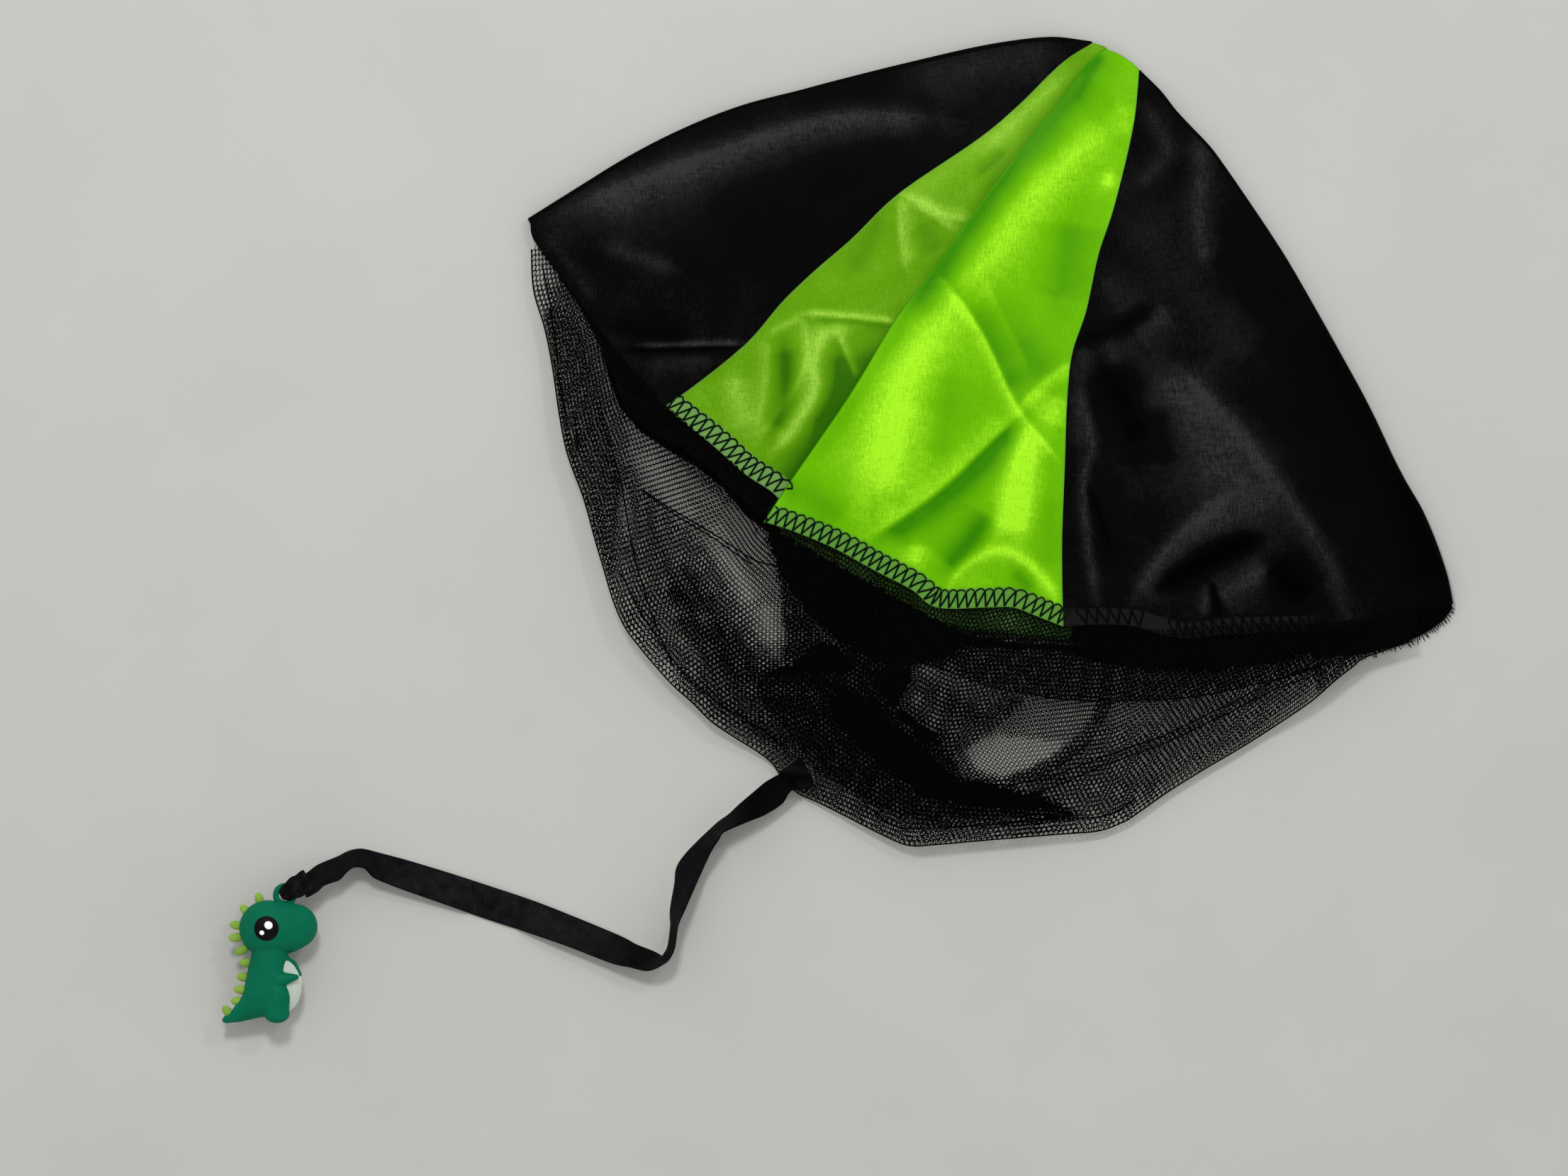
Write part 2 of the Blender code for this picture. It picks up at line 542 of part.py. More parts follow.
def add_mass(bm, mass, facets, grow=0.0):
    """Adds one ellipsoid of the charm to a bmesh."""
    middle, half, depth, offset, turn = mass
    matrix = Matrix.Translation(charm_point(middle, offset)) @ Matrix.Rotation(math.radians(turn), 4, "Z")
    sizes = (half[0] * CHARM_PIXEL + grow, half[1] * CHARM_PIXEL + grow, depth + grow)
    matrix = matrix @ Matrix.Diagonal((*sizes, 1.0))
    bmesh.ops.create_uvsphere(bm, u_segments=facets[0], v_segments=facets[1], radius=1.0, matrix=matrix)


def ellipsoid(name, mass, colour_material, collection, facets, grow=0.0):
    bm = bmesh.new()
    add_mass(bm, mass, facets, grow)
    return finish_object(name, bm, colour_material, collection)


def spike_mass(root, way):
    out = SPIKE_STAND_SHARE * SPIKE_HALF_PIXELS[0]
    middle = (root[0] + out * math.cos(math.radians(way)), root[1] - out * math.sin(math.radians(way)))
    return (middle, SPIKE_HALF_PIXELS, SPIKE_DEPTH, 0.0, way)


def eye_mass(side):
    half = EYE_RADIUS / CHARM_PIXEL
    return (EYE_PIXELS, (half, half), EYE_BULGE, side * (HEAD_DEPTH - EYE_SET_BACK), 0.0)


def glint_mass(index, side):
    half = GLINT_RADII[index] / CHARM_PIXEL
    away = (Vector(GLINT_PIXELS[index]) - Vector(EYE_PIXELS)).length * CHARM_PIXEL / EYE_RADIUS
    surface = HEAD_DEPTH - EYE_SET_BACK + EYE_BULGE * math.sqrt(1 - away * away)
    depth = surface - GLINT_BULGE * GLINT_SET_SHARE
    return (GLINT_PIXELS[index], (half, half), GLINT_BULGE, side * depth, 0.0)


def mark_cutter(obj):
    obj.hide_render = True
    obj.display_type = "WIRE"


def cut(obj, cutter):
    boolean = obj.modifiers.new("seat", "BOOLEAN")
    boolean.operation = "DIFFERENCE"
    boolean.solver = "EXACT"
    boolean.object = cutter


def charm_body(parts, cutters, colour_material, inserts):
    """The moulded body: its masses flow into each other, and each insert has a seat."""
    bm = bmesh.new()
    for mass in masses(HEAD_MASS_SHARES, HEAD_DEPTH) + masses(BODY_MASS_SHARES, BODY_DEPTH):
        add_mass(bm, mass, BODY_FACETS)
    for middle, half, depth, offset, turn in masses(LIMB_MASS_SHARES, BODY_DEPTH):
        for side in (1, -1):
            add_mass(bm, (middle, half, depth, side * offset, turn), BODY_FACETS)
    obj = finish_object("charm_body", bm, colour_material, parts)
    remesh = obj.modifiers.new("mould", "REMESH")
    remesh.mode = "VOXEL"
    remesh.voxel_size = VOXEL
    smooth = obj.modifiers.new("soften", "SMOOTH")
    smooth.factor = 0.5
    smooth.iterations = BODY_SMOOTHING
    fewer = obj.modifiers.new("fewer_faces", "DECIMATE")
    fewer.ratio = BODY_FACE_SHARE
    for name, mass, facets in inserts:
        cutter = ellipsoid("seat_" + name, mass, colour_material, cutters, facets, SEAT_GAP)
        mark_cutter(cutter)
        cut(obj, cutter)
    return obj


def ring(name, wire_radius, colour_material, collection):
    """A ring round the eyelet's hole, square to the figure's plane of symmetry."""
    bpy.ops.mesh.primitive_torus_add(
        major_radius=EYELET_HOLE_RADIUS + EYELET_WIRE_RADIUS, minor_radius=wire_radius,
        major_segments=RING_FACETS[0], minor_segments=RING_FACETS[1], location=charm_point(EYELET_PIXELS))
    obj = bpy.context.active_object
    obj.name = name
    obj.data.name = name
    obj.data.materials.append(colour_material)
    obj.data.shade_smooth()
    for holder in list(obj.users_collection):
        holder.objects.unlink(obj)
    collection.objects.link(obj)
    return obj


def ribbon_loop(parts, colour_material):
    """The ribbon's end: it goes through the eyelet and back along itself, as a closed band round the ring."""
    half_height = EYELET_WIRE_RADIUS + SEAM_GAP + RIBBON_THICKNESS / 2
    outer = half_height + RIBBON_THICKNESS / 2
    inner = half_height - RIBBON_THICKNESS / 2
    thick = RIBBON_THICKNESS
    shoulder = EYELET_HOLE_RADIUS + 2 * EYELET_WIRE_RADIUS + SEAM_GAP
    curve = bpy.data.curves.new("ribbon_loop", "CURVE")
    curve.dimensions = "2D"
    curve.fill_mode = "BOTH"
    curve.extrude = LOOP_WIDTH / 2
    nose = thick / 2
    flat = outer * LOOP_NOSE_SHARE
    outer_line = [(-nose, -flat), (-nose, flat), (nose, outer), (shoulder, outer), (LOOP_REACH, thick),
                  (LOOP_REACH, -thick), (shoulder, -outer), (nose, -outer)]
    meeting = LOOP_REACH - 3 * thick
    inner_line = [(nose, -inner), (nose, inner), (shoulder - thick, inner), (meeting, thick / 2),
                  (meeting, -thick / 2), (shoulder - thick, -inner)]
    for line in (outer_line, inner_line):
        spline = curve.splines.new("POLY")
        spline.points.add(len(line) - 1)
        for point, (x, y) in zip(spline.points, line):
            point.co = (x, y, 0.0, 1.0)
        spline.use_cyclic_u = True
    curve.materials.append(colour_material)
    obj = bpy.data.objects.new("ribbon_loop", curve)
    obj.location = charm_point(EYELET_PIXELS)
    obj.rotation_euler = (math.pi / 2, 0, LOOP_TURN)
    parts.objects.link(obj)
    return obj


def build():
    clear_scene()
    parts = new_collection("toy_parachute")
    cutters = new_collection("cutters")
    lime = material("lime_satin", (0.25, 0.60, 0.01), 0.35)
    black = material("black_satin", (0.012, 0.012, 0.013), 0.38)
    tulle = material("black_tulle", (0.02, 0.02, 0.02), 0.7)
    ribbon_black = material("black_ribbon", (0.008, 0.008, 0.011), 0.45)
    green = material("green_vinyl", (0.0, 0.16, 0.075), 0.45)
    spike_lime = material("lime_vinyl", (0.30, 0.46, 0.06), 0.4)
    white = material("white_vinyl", (0.75, 0.85, 0.80), 0.4)
    eye_black = material("eye_black", (0.01, 0.01, 0.01), 0.2)

    rim = canopy_rim()
    front_green_gore(parts, lime, rim)
    left_seam = shifted(LEFT_SEAM_PIXELS, -SEAM_GAP / 2)
    right_seam = shifted(RIGHT_SEAM_PIXELS, SEAM_GAP / 2)
    back_left_seam = shifted(BACK_LEFT_SEAM_PIXELS, -SEAM_GAP / 2)
    back_right_seam = shifted(BACK_RIGHT_SEAM_PIXELS, SEAM_GAP / 2)
    folded_gore("canopy_gore_left_black", parts, black, rim, left_seam, LEFT_FOLD_PIXELS,
                LEFT_BLACK_HEM_PIXELS, back_left_seam, BACK_LEFT_HEM_PIXELS, 1, LEFT_BLACK_STEPS)
    folded_gore("canopy_gore_right_black", parts, black, rim, right_seam, RIGHT_FOLD_PIXELS,
                RIGHT_BLACK_HEM_PIXELS[::-1], back_right_seam, BACK_RIGHT_HEM_PIXELS, -1, RIGHT_BLACK_STEPS)
    back_green_gore(parts, lime)
    net_half("net_front", parts, tulle, NET_FRONT_SEAM_PIXELS, NET_FRONT_STEPS, net_front_height(rim))
    net_half("net_back", parts, tulle, NET_BACK_SEAM_PIXELS, NET_BACK_STEPS, lambda *place: NET_THICKNESS / 2)

    ribbon_object(parts, ribbon_black)
    ribbon_tab(parts, ribbon_black)
    ribbon_loop(parts, ribbon_black)

    inserts = [("charm_belly", masses(BELLY_MASS_SHARES, BODY_DEPTH)[0], BELLY_FACETS)]
    inserts += [(f"charm_spike_{i + 1}", spike_mass(*spike), SPIKE_FACETS) for i, spike in enumerate(SPIKES)]
    inserts += [("charm_eye_left", eye_mass(1), EYE_FACETS), ("charm_eye_right", eye_mass(-1), EYE_FACETS)]
    body = charm_body(parts, cutters, green, inserts)
    eyelet_seat = ring("seat_charm_head_loop", EYELET_WIRE_RADIUS + SEAT_GAP, green, cutters)
    mark_cutter(eyelet_seat)
    cut(body, eyelet_seat)
    ring("charm_head_loop", EYELET_WIRE_RADIUS, green, parts)
    finishes = {"charm_belly": white, "charm_spike": spike_lime, "charm_eye": eye_black}
    made = {}
    for name, mass, facets in inserts:
        finish = next(value for key, value in finishes.items() if name.startswith(key))
        made[name] = ellipsoid(name, mass, finish, parts, facets)
    for side, word in ((1, "left"), (-1, "right")):
        for index in range(len(GLINT_PIXELS)):
            name = f"charm_glint_{word}_{index + 1}"
            mass = glint_mass(index, side)
            ellipsoid(name, mass, white, parts, GLINT_FACETS)
            seat = ellipsoid("seat_" + name, mass, white, cutters, GLINT_FACETS, SEAT_GAP)
            mark_cutter(seat)
            cut(made["charm_eye_" + word], seat)


build()
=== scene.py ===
import math

import bmesh
import bpy
import numpy as np
from mathutils import Matrix, Vector
from mathutils.bvhtree import BVHTree
from mathutils.kdtree import KDTree


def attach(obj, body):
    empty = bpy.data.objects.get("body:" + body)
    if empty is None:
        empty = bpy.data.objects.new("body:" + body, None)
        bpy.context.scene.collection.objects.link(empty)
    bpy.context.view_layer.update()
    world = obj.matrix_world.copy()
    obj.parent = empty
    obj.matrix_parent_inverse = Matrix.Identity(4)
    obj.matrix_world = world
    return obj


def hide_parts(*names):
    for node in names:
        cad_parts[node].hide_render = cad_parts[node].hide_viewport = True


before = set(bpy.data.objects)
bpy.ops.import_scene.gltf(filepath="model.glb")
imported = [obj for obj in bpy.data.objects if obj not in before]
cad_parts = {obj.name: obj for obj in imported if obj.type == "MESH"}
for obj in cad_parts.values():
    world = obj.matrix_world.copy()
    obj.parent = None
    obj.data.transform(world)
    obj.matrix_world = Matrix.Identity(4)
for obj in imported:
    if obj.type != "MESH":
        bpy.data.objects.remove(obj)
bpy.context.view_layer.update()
print("frame loaded:", len(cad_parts), "CAD nodes")

# The picture is seen from straight above: one pixel of it is this far on the table.
picture = {"width": 2212, "height": 1659, "originX": 1182.5, "originY": 747.5, "pixel": 0.307 / 1306}
pixel = picture["pixel"]
millimetre = 0.001


def onTable(points):
    p = np.asarray(points, float)
    return np.stack([(p[..., 0] - picture["originX"]) * pixel, (picture["originY"] - p[..., 1]) * pixel], -1)


def smoothStep(value):
    value = np.clip(value, 0.0, 1.0)
    return value * value * (3 - 2 * value)


def evenly(count):
    return np.linspace(0, 1, count)


class Line:
    # A smooth line through a few points, read by the share of its length.
    def __init__(self, points, steps=8):
        points = np.asarray(points, float)
        last = len(points) - 1
        dense = []
        for i in range(last):
            start, end = points[i], points[i + 1]
            pull = end - points[i - 1] if i else end - start
            push = points[i + 2] - start if i + 2 <= last else end - start
            for t in np.arange(steps) / steps:
                dense.append((2 * t ** 3 - 3 * t ** 2 + 1) * start + (t ** 3 - 2 * t ** 2 + t) * 0.5 * pull
                             + (3 * t ** 2 - 2 * t ** 3) * end + (t ** 3 - t ** 2) * 0.5 * push)
        dense.append(points[last])
        self.dense = np.array(dense)
        self.reach = np.concatenate([[0.0], np.cumsum(np.linalg.norm(np.diff(self.dense, axis=0), axis=1))])
        self.length = self.reach[-1]

    def at(self, shares):
        wanted = np.clip(shares, 0.0, 1.0) * self.length
        return np.stack([np.interp(wanted, self.reach, axis) for axis in self.dense.T], -1)

    def side(self, shares, step=0.01):
        # unit vectors to the left of the line's direction
        along = self.at(np.asarray(shares) + step) - self.at(np.asarray(shares) - step)
        left = np.stack([-along[..., 1], along[..., 0]], -1)
        return left / np.linalg.norm(left, axis=-1, keepdims=True)


def traced(points):
    return Line(onTable(points))


def joined(*parts):
    # a line through places that are already on the table
    return Line(np.vstack(parts))


def raised(flat, high):
    return np.concatenate([flat, high[..., None]], -1)


def patch(left, right, top, bottom, us, vs):
    # a sheet between four lines: left and right run down it, top and bottom run across it
    u, v = us[:, None, None], vs[None, :, None]
    sides = left.at(us)[:, None] * (1 - v) + right.at(us)[:, None] * v
    ends = top.at(vs)[None] * (1 - u) + bottom.at(vs)[None] * u
    corners = (left.at(0) * (1 - v) + right.at(0) * v) * (1 - u) + (left.at(1) * (1 - v) + right.at(1) * v) * u
    return sides + ends - corners


def intoScene(name, data):
    made = bpy.data.objects.new(name, data)
    bpy.context.scene.collection.objects.link(made)
    return made


# ---- camera
camera = {"distance": 6.0, "sensor": 36.0}
cameraData = bpy.data.cameras.new("tableCamera")
cameraData.sensor_fit = "HORIZONTAL"
cameraData.sensor_width = camera["sensor"]
cameraData.lens = camera["sensor"] * camera["distance"] / (picture["width"] * pixel)
cameraObject = intoScene("tableCamera", cameraData)
middle = onTable((picture["width"] / 2, picture["height"] / 2))
cameraObject.location = (middle[0], middle[1], camera["distance"])
bpy.context.scene.camera = cameraObject
bpy.context.scene.view_settings.view_transform = "Standard"


# ---- small tools for materials and pieces
class Finish:
    # a node material, built up node by node
    def __init__(self, name):
        self.material = bpy.data.materials.new(name)
        self.material.use_nodes = True
        self.nodes = self.material.node_tree.nodes
        self.links = self.material.node_tree.links
        self.shader = self.nodes["Principled BSDF"]
        self.places = self.nodes.new("ShaderNodeTexCoord").outputs["Object"]

    def node(self, kind, inputs=None, **settings):
        made = self.nodes.new("ShaderNode" + kind)
        for key, value in settings.items():
            setattr(made, key, value)
        for key, value in (inputs or {}).items():
            if isinstance(value, bpy.types.NodeSocket):
                self.links.new(value, made.inputs[key])
            else:
                made.inputs[key].default_value = value
        return made

    def turned(self, degrees, scale=(1, 1, 1)):
        return self.node("Mapping", {"Vector": self.places, "Rotation": (0, 0, math.radians(degrees)),
                                     "Scale": scale}).outputs["Vector"]

    def noise(self, places, scale, detail=3.0, rough=0.55):
        return self.node("TexNoise", {"Vector": places, "Scale": scale, "Detail": detail,
                                      "Roughness": rough}).outputs["Fac"]

    def ramp(self, value, stops):
        made = self.node("ValToRGB", {"Fac": value})
        while len(made.color_ramp.elements) < len(stops):
            made.color_ramp.elements.new(0.5)
        for element, (place, colour) in zip(made.color_ramp.elements, stops):
            element.position = place
            element.color = (*colour, 1.0) if isinstance(colour, tuple) else (colour, colour, colour, 1.0)
        return made.outputs["Color"]

    def spread(self, value, low, high, fromLow=0.0, fromHigh=1.0):
        return self.node("MapRange", {"Value": value, "From Min": fromLow, "From Max": fromHigh,
                                      "To Min": low, "To Max": high}).outputs["Result"]

    def maths(self, operation, a, b):
        return self.node("Math", {0: a, 1: b}, operation=operation).outputs["Value"]

    def mix(self, share, a, b, blend="MIX"):
        made = self.node("Mix", {0: share}, data_type="RGBA", blend_type=blend)
        for index, value in ((6, a), (7, b)):
            if isinstance(value, bpy.types.NodeSocket):
                self.links.new(value, made.inputs[index])
            else:
                made.inputs[index].default_value = (*value, 1.0)
        return made.outputs[2]

    def painted(self, name):
        return self.node("Attribute", attribute_name=name).outputs["Fac"]

    def bump(self, height, strength, distance):
        return self.node("Bump", {"Height": height, "Strength": strength, "Distance": distance}).outputs["Normal"]

    def put(self, **sockets):
        for key, value in sockets.items():
            socket = self.shader.inputs[words(key)]
            if isinstance(value, bpy.types.NodeSocket):
                self.links.new(value, socket)
            else:
                fourth = isinstance(value, tuple) and len(socket.default_value) == 4
                socket.default_value = (*value, 1.0) if fourth else value
        return self.material


def words(key):
    # "baseColor" is the socket called "Base Color"
    spaced = "".join(" " + letter if letter.isupper() else letter for letter in key)
    return {"specular Ior Level": "Specular IOR Level"}.get(spaced, spaced.title())


def satinFinish(name, dark, plain, bright, pale, turn, tint, rough=0.36, shine=0.25, halfway=0.45):
    f = Finish(name)
    tone = f.painted("tone")
    streaks = f.noise(f.turned(turn, (1, 0.14, 1)), 2500, 3.0, 0.7)
    slubs = f.noise(f.turned(turn, (0.16, 1, 1)), 1700, 2.0)
    cloudy = f.noise(f.places, 60, 4.0)
    threads = f.maths("ADD", f.spread(streaks, -0.8, 0.8, 0.3, 0.7), f.spread(slubs, -0.35, 0.35, 0.3, 0.7))
    # the weave shows where the satin shines, hardly where it's dark
    weight = f.node("MapRange", {"Value": tone, "From Min": -0.4, "From Max": 0.9, "To Min": 0.07, "To Max": 0.50},
                    interpolation_type="SMOOTHSTEP").outputs["Result"]
    lit = f.maths("ADD", tone, f.maths("MULTIPLY", threads, weight))
    lit = f.maths("ADD", lit, f.spread(cloudy, -0.12, 0.12, 0.3, 0.7))
    between = tuple(a + (b - a) * halfway for a, b in zip(plain, bright))
    # the painted shading picks the colour: painted shade towards dark, painted highlight towards bright
    colour = f.ramp(f.spread(lit, 0.0, 1.0, -1.0, 1.0), [(0.0, dark), (0.5, plain), (0.75, between), (1.0, bright)])
    # pale colour: the overlocked band's own colour, with painted highlights on seam edges and painted sheen on the
    # black hem
    colour = f.mix(f.painted("pale"), colour, pale)
    return f.put(baseColor=colour, roughness=f.spread(streaks, rough - 0.07, rough + 0.09, 0.25, 0.75),
                 normal=f.bump(threads, 0.25, 0.00006), specularIorLevel=shine, specularTint=tint)


def plainFinish(name, low, high, rough, scale, grain=0.2, depth=0.0001, **sockets):
    f = Finish(name)
    cloudy = f.noise(f.places, scale, 4.0)
    fine = f.noise(f.places, scale * 9, 2.0)
    return f.put(baseColor=f.ramp(cloudy, [(0.3, low), (0.7, high)]),
                 roughness=f.spread(fine, rough - 0.05, rough + 0.06, 0.3, 0.7),
                 normal=f.bump(fine, grain, depth), **sockets)


def finishPiece(name, bm, materials, body, replaced=(), thickness=0.0):
    mesh = bpy.data.meshes.new(name)
    bm.to_mesh(mesh)
    bm.free()
    for material in materials:
        mesh.materials.append(material)
    mesh.shade_smooth()
    piece = intoScene(name, mesh)
    if thickness:
        wall = piece.modifiers.new("thickness", "SOLIDIFY")
        wall.thickness = thickness
        wall.offset = -1.0
    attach(piece, body)
    if replaced:
        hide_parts(*replaced)
    return piece


def clothMesh(grid, marks=None, finishOfColumn=None):
    # a grid of rows and columns put in place, with its painted marks
    rows, columns = grid.shape[0] - 1, grid.shape[1] - 1
    bm = bmesh.new()
    bmesh.ops.create_grid(bm, x_segments=columns, y_segments=rows, size=0.5)
    for vertex, place in zip(bm.verts, grid.reshape(-1, 3)):
        vertex.co = place
    for name, values in (marks or {}).items():
        layer = bm.verts.layers.float.new(name)
        for vertex, value in zip(bm.verts, values.ravel()):
            vertex[layer] = value
    if finishOfColumn is not None:
        for index, face in enumerate(bm.faces):
            face.material_index = finishOfColumn[index % columns]
    upward = sum(face.normal.z * face.calc_area() for face in bm.faces if not face.normal_update())
    if upward < 0:
        bmesh.ops.reverse_faces(bm, faces=bm.faces)
    return bm


# ---- ribbon: the only cord
ribbon = {
    "width": 0.0107, "thickness": 0.0005, "rows": 420, "columns": 12, "gatherShare": 0.14, "gatheredWidth": 0.0078,
    "liftShares": (0.87, 0.99), "tabHeight": 0.0027, "eyeletHeight": 0.0089, "length": 0.2044, "turnWidth": 0.0010,
    # the strip's two edges from the tab to the charm, as picture pixels; it turns over where they meet
    "edges": [
        (1126, 1108, 1112, 1084), (1113, 1117, 1099, 1092), (1103, 1133, 1080, 1103), (1080, 1148, 1062, 1118),
        (1055, 1158, 1043, 1134), (1035, 1166, 1028, 1148), (1019, 1174, 1014, 1158), (1013, 1184, 1004, 1167),
        (1004, 1198, 985, 1185), (996, 1215, 966, 1205), (988, 1233, 954, 1224), (977, 1257, 951, 1248),
        (966, 1282, 946, 1275), (959, 1297, 944.5, 1292), (953, 1315, 946, 1312), (950, 1335, 943, 1334),
        (946, 1348, 937, 1344), (935, 1359, 934, 1347.5), (914, 1368, 921, 1341), (888, 1363, 898, 1332),
        (862, 1357.5, 875, 1320), (800, 1334, 814, 1294.5), (740, 1314, 754, 1271), (680, 1294.5, 693, 1250.5),
        (620, 1273, 633, 1231), (570, 1255, 582, 1215.5), (545, 1245, 555, 1208), (528, 1237, 532, 1202),
        (517, 1225, 517, 1198), (508, 1222, 506, 1197), (498, 1223, 492, 1200), (489, 1230, 478, 1207),
        (480, 1240, 466, 1212), (468, 1244.5, 456, 1216), (457, 1249, 446, 1221), (449, 1257, 437, 1228),
        (441, 1262, 428, 1235), (433, 1265, 422, 1241)],
    # painted sheen: how grey the satin looks at shares of the length, darkest near the tab where it turns away from
    # the light
    "worn": [(0.0, 0.0), (0.14, 0.0), (0.22, 0.55), (0.36, 0.45), (0.42, 0.3), (0.50, 0.75), (0.80, 0.85), (0.88, 0.3),
             (1.0, 0.5)]}
ribbonFinish = Finish("ribbonSatin")
ribs = ribbonFinish.noise(ribbonFinish.turned(-52, (1, 0.12, 1)), 2300, 2.0)
dusty = ribbonFinish.noise(ribbonFinish.places, 260, 4.0)
# painted sheen colour: the grey the black ribbon turns where its painted sheen is high
sheenGrey = ribbonFinish.ramp(ribbonFinish.maths("ADD", dusty, ribbonFinish.spread(ribs, -0.12, 0.12, 0.25, 0.75)),
                           [(0.3, (0.0030, 0.0030, 0.0040)), (0.75, (0.0125, 0.0125, 0.0150))])
ribbonFinish.put(baseColor=ribbonFinish.mix(ribbonFinish.painted("worn"), (0.0006, 0.0006, 0.0007), sheenGrey),
                 roughness=ribbonFinish.spread(ribs, 0.40, 0.56, 0.3, 0.7), specularIorLevel=0.025,
                 normal=ribbonFinish.bump(ribs, 0.35, 0.00008))


def makeRibbon():
    # the width stays the same along the strip: what the picture doesn't show of it, the strip rises
    edges = Line([np.concatenate([onTable(station[:2]), onTable(station[2:])]) for station in ribbon["edges"]], 24)
    middles = (edges.dense[:, :2] + edges.dense[:, 2:]) / 2
    reach = np.concatenate([[0.0], np.cumsum(np.linalg.norm(np.diff(middles, axis=0), axis=1))])
    steps = np.linspace(0, reach[-1], ribbon["rows"] + 1)
    u = steps / reach[-1]
    placed = np.stack([np.interp(steps, reach, axis) for axis in edges.dense.T], -1)
    ground, half = (placed[:, :2] + placed[:, 2:]) / 2, (placed[:, :2] - placed[:, 2:]) / 2
    gather = smoothStep((u - 1 + ribbon["gatherShare"]) / ribbon["gatherShare"])
    width = ribbon["width"] + (ribbon["gatheredWidth"] - ribbon["width"]) * gather
    rise = np.sqrt(np.maximum(width ** 2 / 4 - (half ** 2).sum(1), 0))
    low, high = ribbon["liftShares"]
    climb = smoothStep((u - low) / (high - low))
    rest = rise + ribbon["thickness"]
    height = np.maximum(rest, ribbon["tabHeight"] * (1 - smoothStep(u * 12)))
    height += (np.maximum(ribbon["eyeletHeight"], rest) - height) * climb
    across = np.linspace(-1, 1, ribbon["columns"] + 1)
    cup = 0.00035 * (1 - across[None] ** 2) * np.sin(steps / 0.021)[:, None]  # the strip isn't quite flat across
    crumple = np.sin(steps[:, None] / 0.0013 + 2.2 * across[None]) + np.sin(steps[:, None] / 0.0021 - 3 * across[None])
    crumple = 0.00022 * climb[:, None] * crumple
    flatness = np.linalg.norm(half, axis=1) * 2 / width
    tall = height[:, None] + rise[:, None] * across[None] + (cup + crumple) * flatness[:, None]
    # on edge the strip bends to an S, so it never looks thinner than its turn
    run = np.gradient(ground, axis=0)
    sideways = np.stack([-run[:, 1], run[:, 0]], -1) / np.linalg.norm(run, axis=1, keepdims=True)
    turned = ribbon["turnWidth"] * smoothStep(1 - 2.2 * flatness)[:, None] * np.sin(np.pi * across)[None]
    grid = np.concatenate([ground[:, None] + half[:, None] * across[None, :, None]
                           + sideways[:, None] * turned[..., None], np.maximum(tall, 0.0006)[..., None]], -1)
    worn = np.interp(u, *zip(*ribbon["worn"]))[:, None] + 0 * across[None]
    piece = finishPiece("ribbonStrip", clothMesh(grid, {"worn": worn}), [ribbonFinish.material], "parachute",
                        ["ribbon"], ribbon["thickness"] * 0.7)
    centre = np.concatenate([ground, height[:, None]], 1)[::7]
    print("ribbon centreline", round(float(np.linalg.norm(np.diff(centre, axis=0), axis=1).sum()), 4), "m")
    return piece, [tuple(point) for point in centre]


# The ribbon's two ends: a folded tab sewn on the skirt's tip, and a doubled end that goes through the eyelet
ribbonEnds = {
    "tabPixels": (1122, 1096), "tabTurn": -157, "tabLength": 0.0083, "tabWidth": 0.0102, "tabHeight": 0.0030,
    "loopPixels": (401, 1261.5), "loopTurn": 31, "loopReach": 0.0080, "ringWire": 0.00145, "noseWidth": 0.0056,
    "fullWidth": 0.0072, "cloth": 0.0003}


def ribbonEnd(name, grid, worn, place, turn, node):
    # the end gets one painted sheen all over
    bm = clothMesh(grid, {"worn": grid[..., 0] * 0 + worn})
    bmesh.ops.rotate(bm, matrix=Matrix.Rotation(math.radians(turn), 3, "Z"), verts=bm.verts)
    bmesh.ops.translate(bm, vec=place, verts=bm.verts)
    return finishPiece(name, bm, [ribbonFinish.material], "parachute", [node], ribbonEnds["cloth"])


def makeTab():
    # the folded end, with a raised turned edge
    e = ribbonEnds
    across, along = np.linspace(-1, 1, 25), np.linspace(-1, 1, 29)
    fold = np.concatenate([along, [1.05, 1.05], along[::-1]])
    layer = np.concatenate([np.zeros(29), [0.25, 0.75], np.ones(29)])
    wave = 0.0002 * np.sin(across[None] * 5 + fold[:, None] * 3)
    squeeze = 1 - 0.32 * smoothStep((0.7 - fold) / 1.7)  # narrower where the ribbon leaves it
    grid = np.stack([fold[:, None] * e["tabLength"] / 2 + 0 * across[None],
                     across[None] * e["tabWidth"] / 2 * squeeze[:, None],
                     e["tabHeight"] + (1 - layer[:, None]) * 0.0011 + wave], -1)
    return ribbonEnd("ribbonTab", grid, 0.05, (*onTable(e["tabPixels"]), 0), e["tabTurn"] + 180, "ribbon_tab")


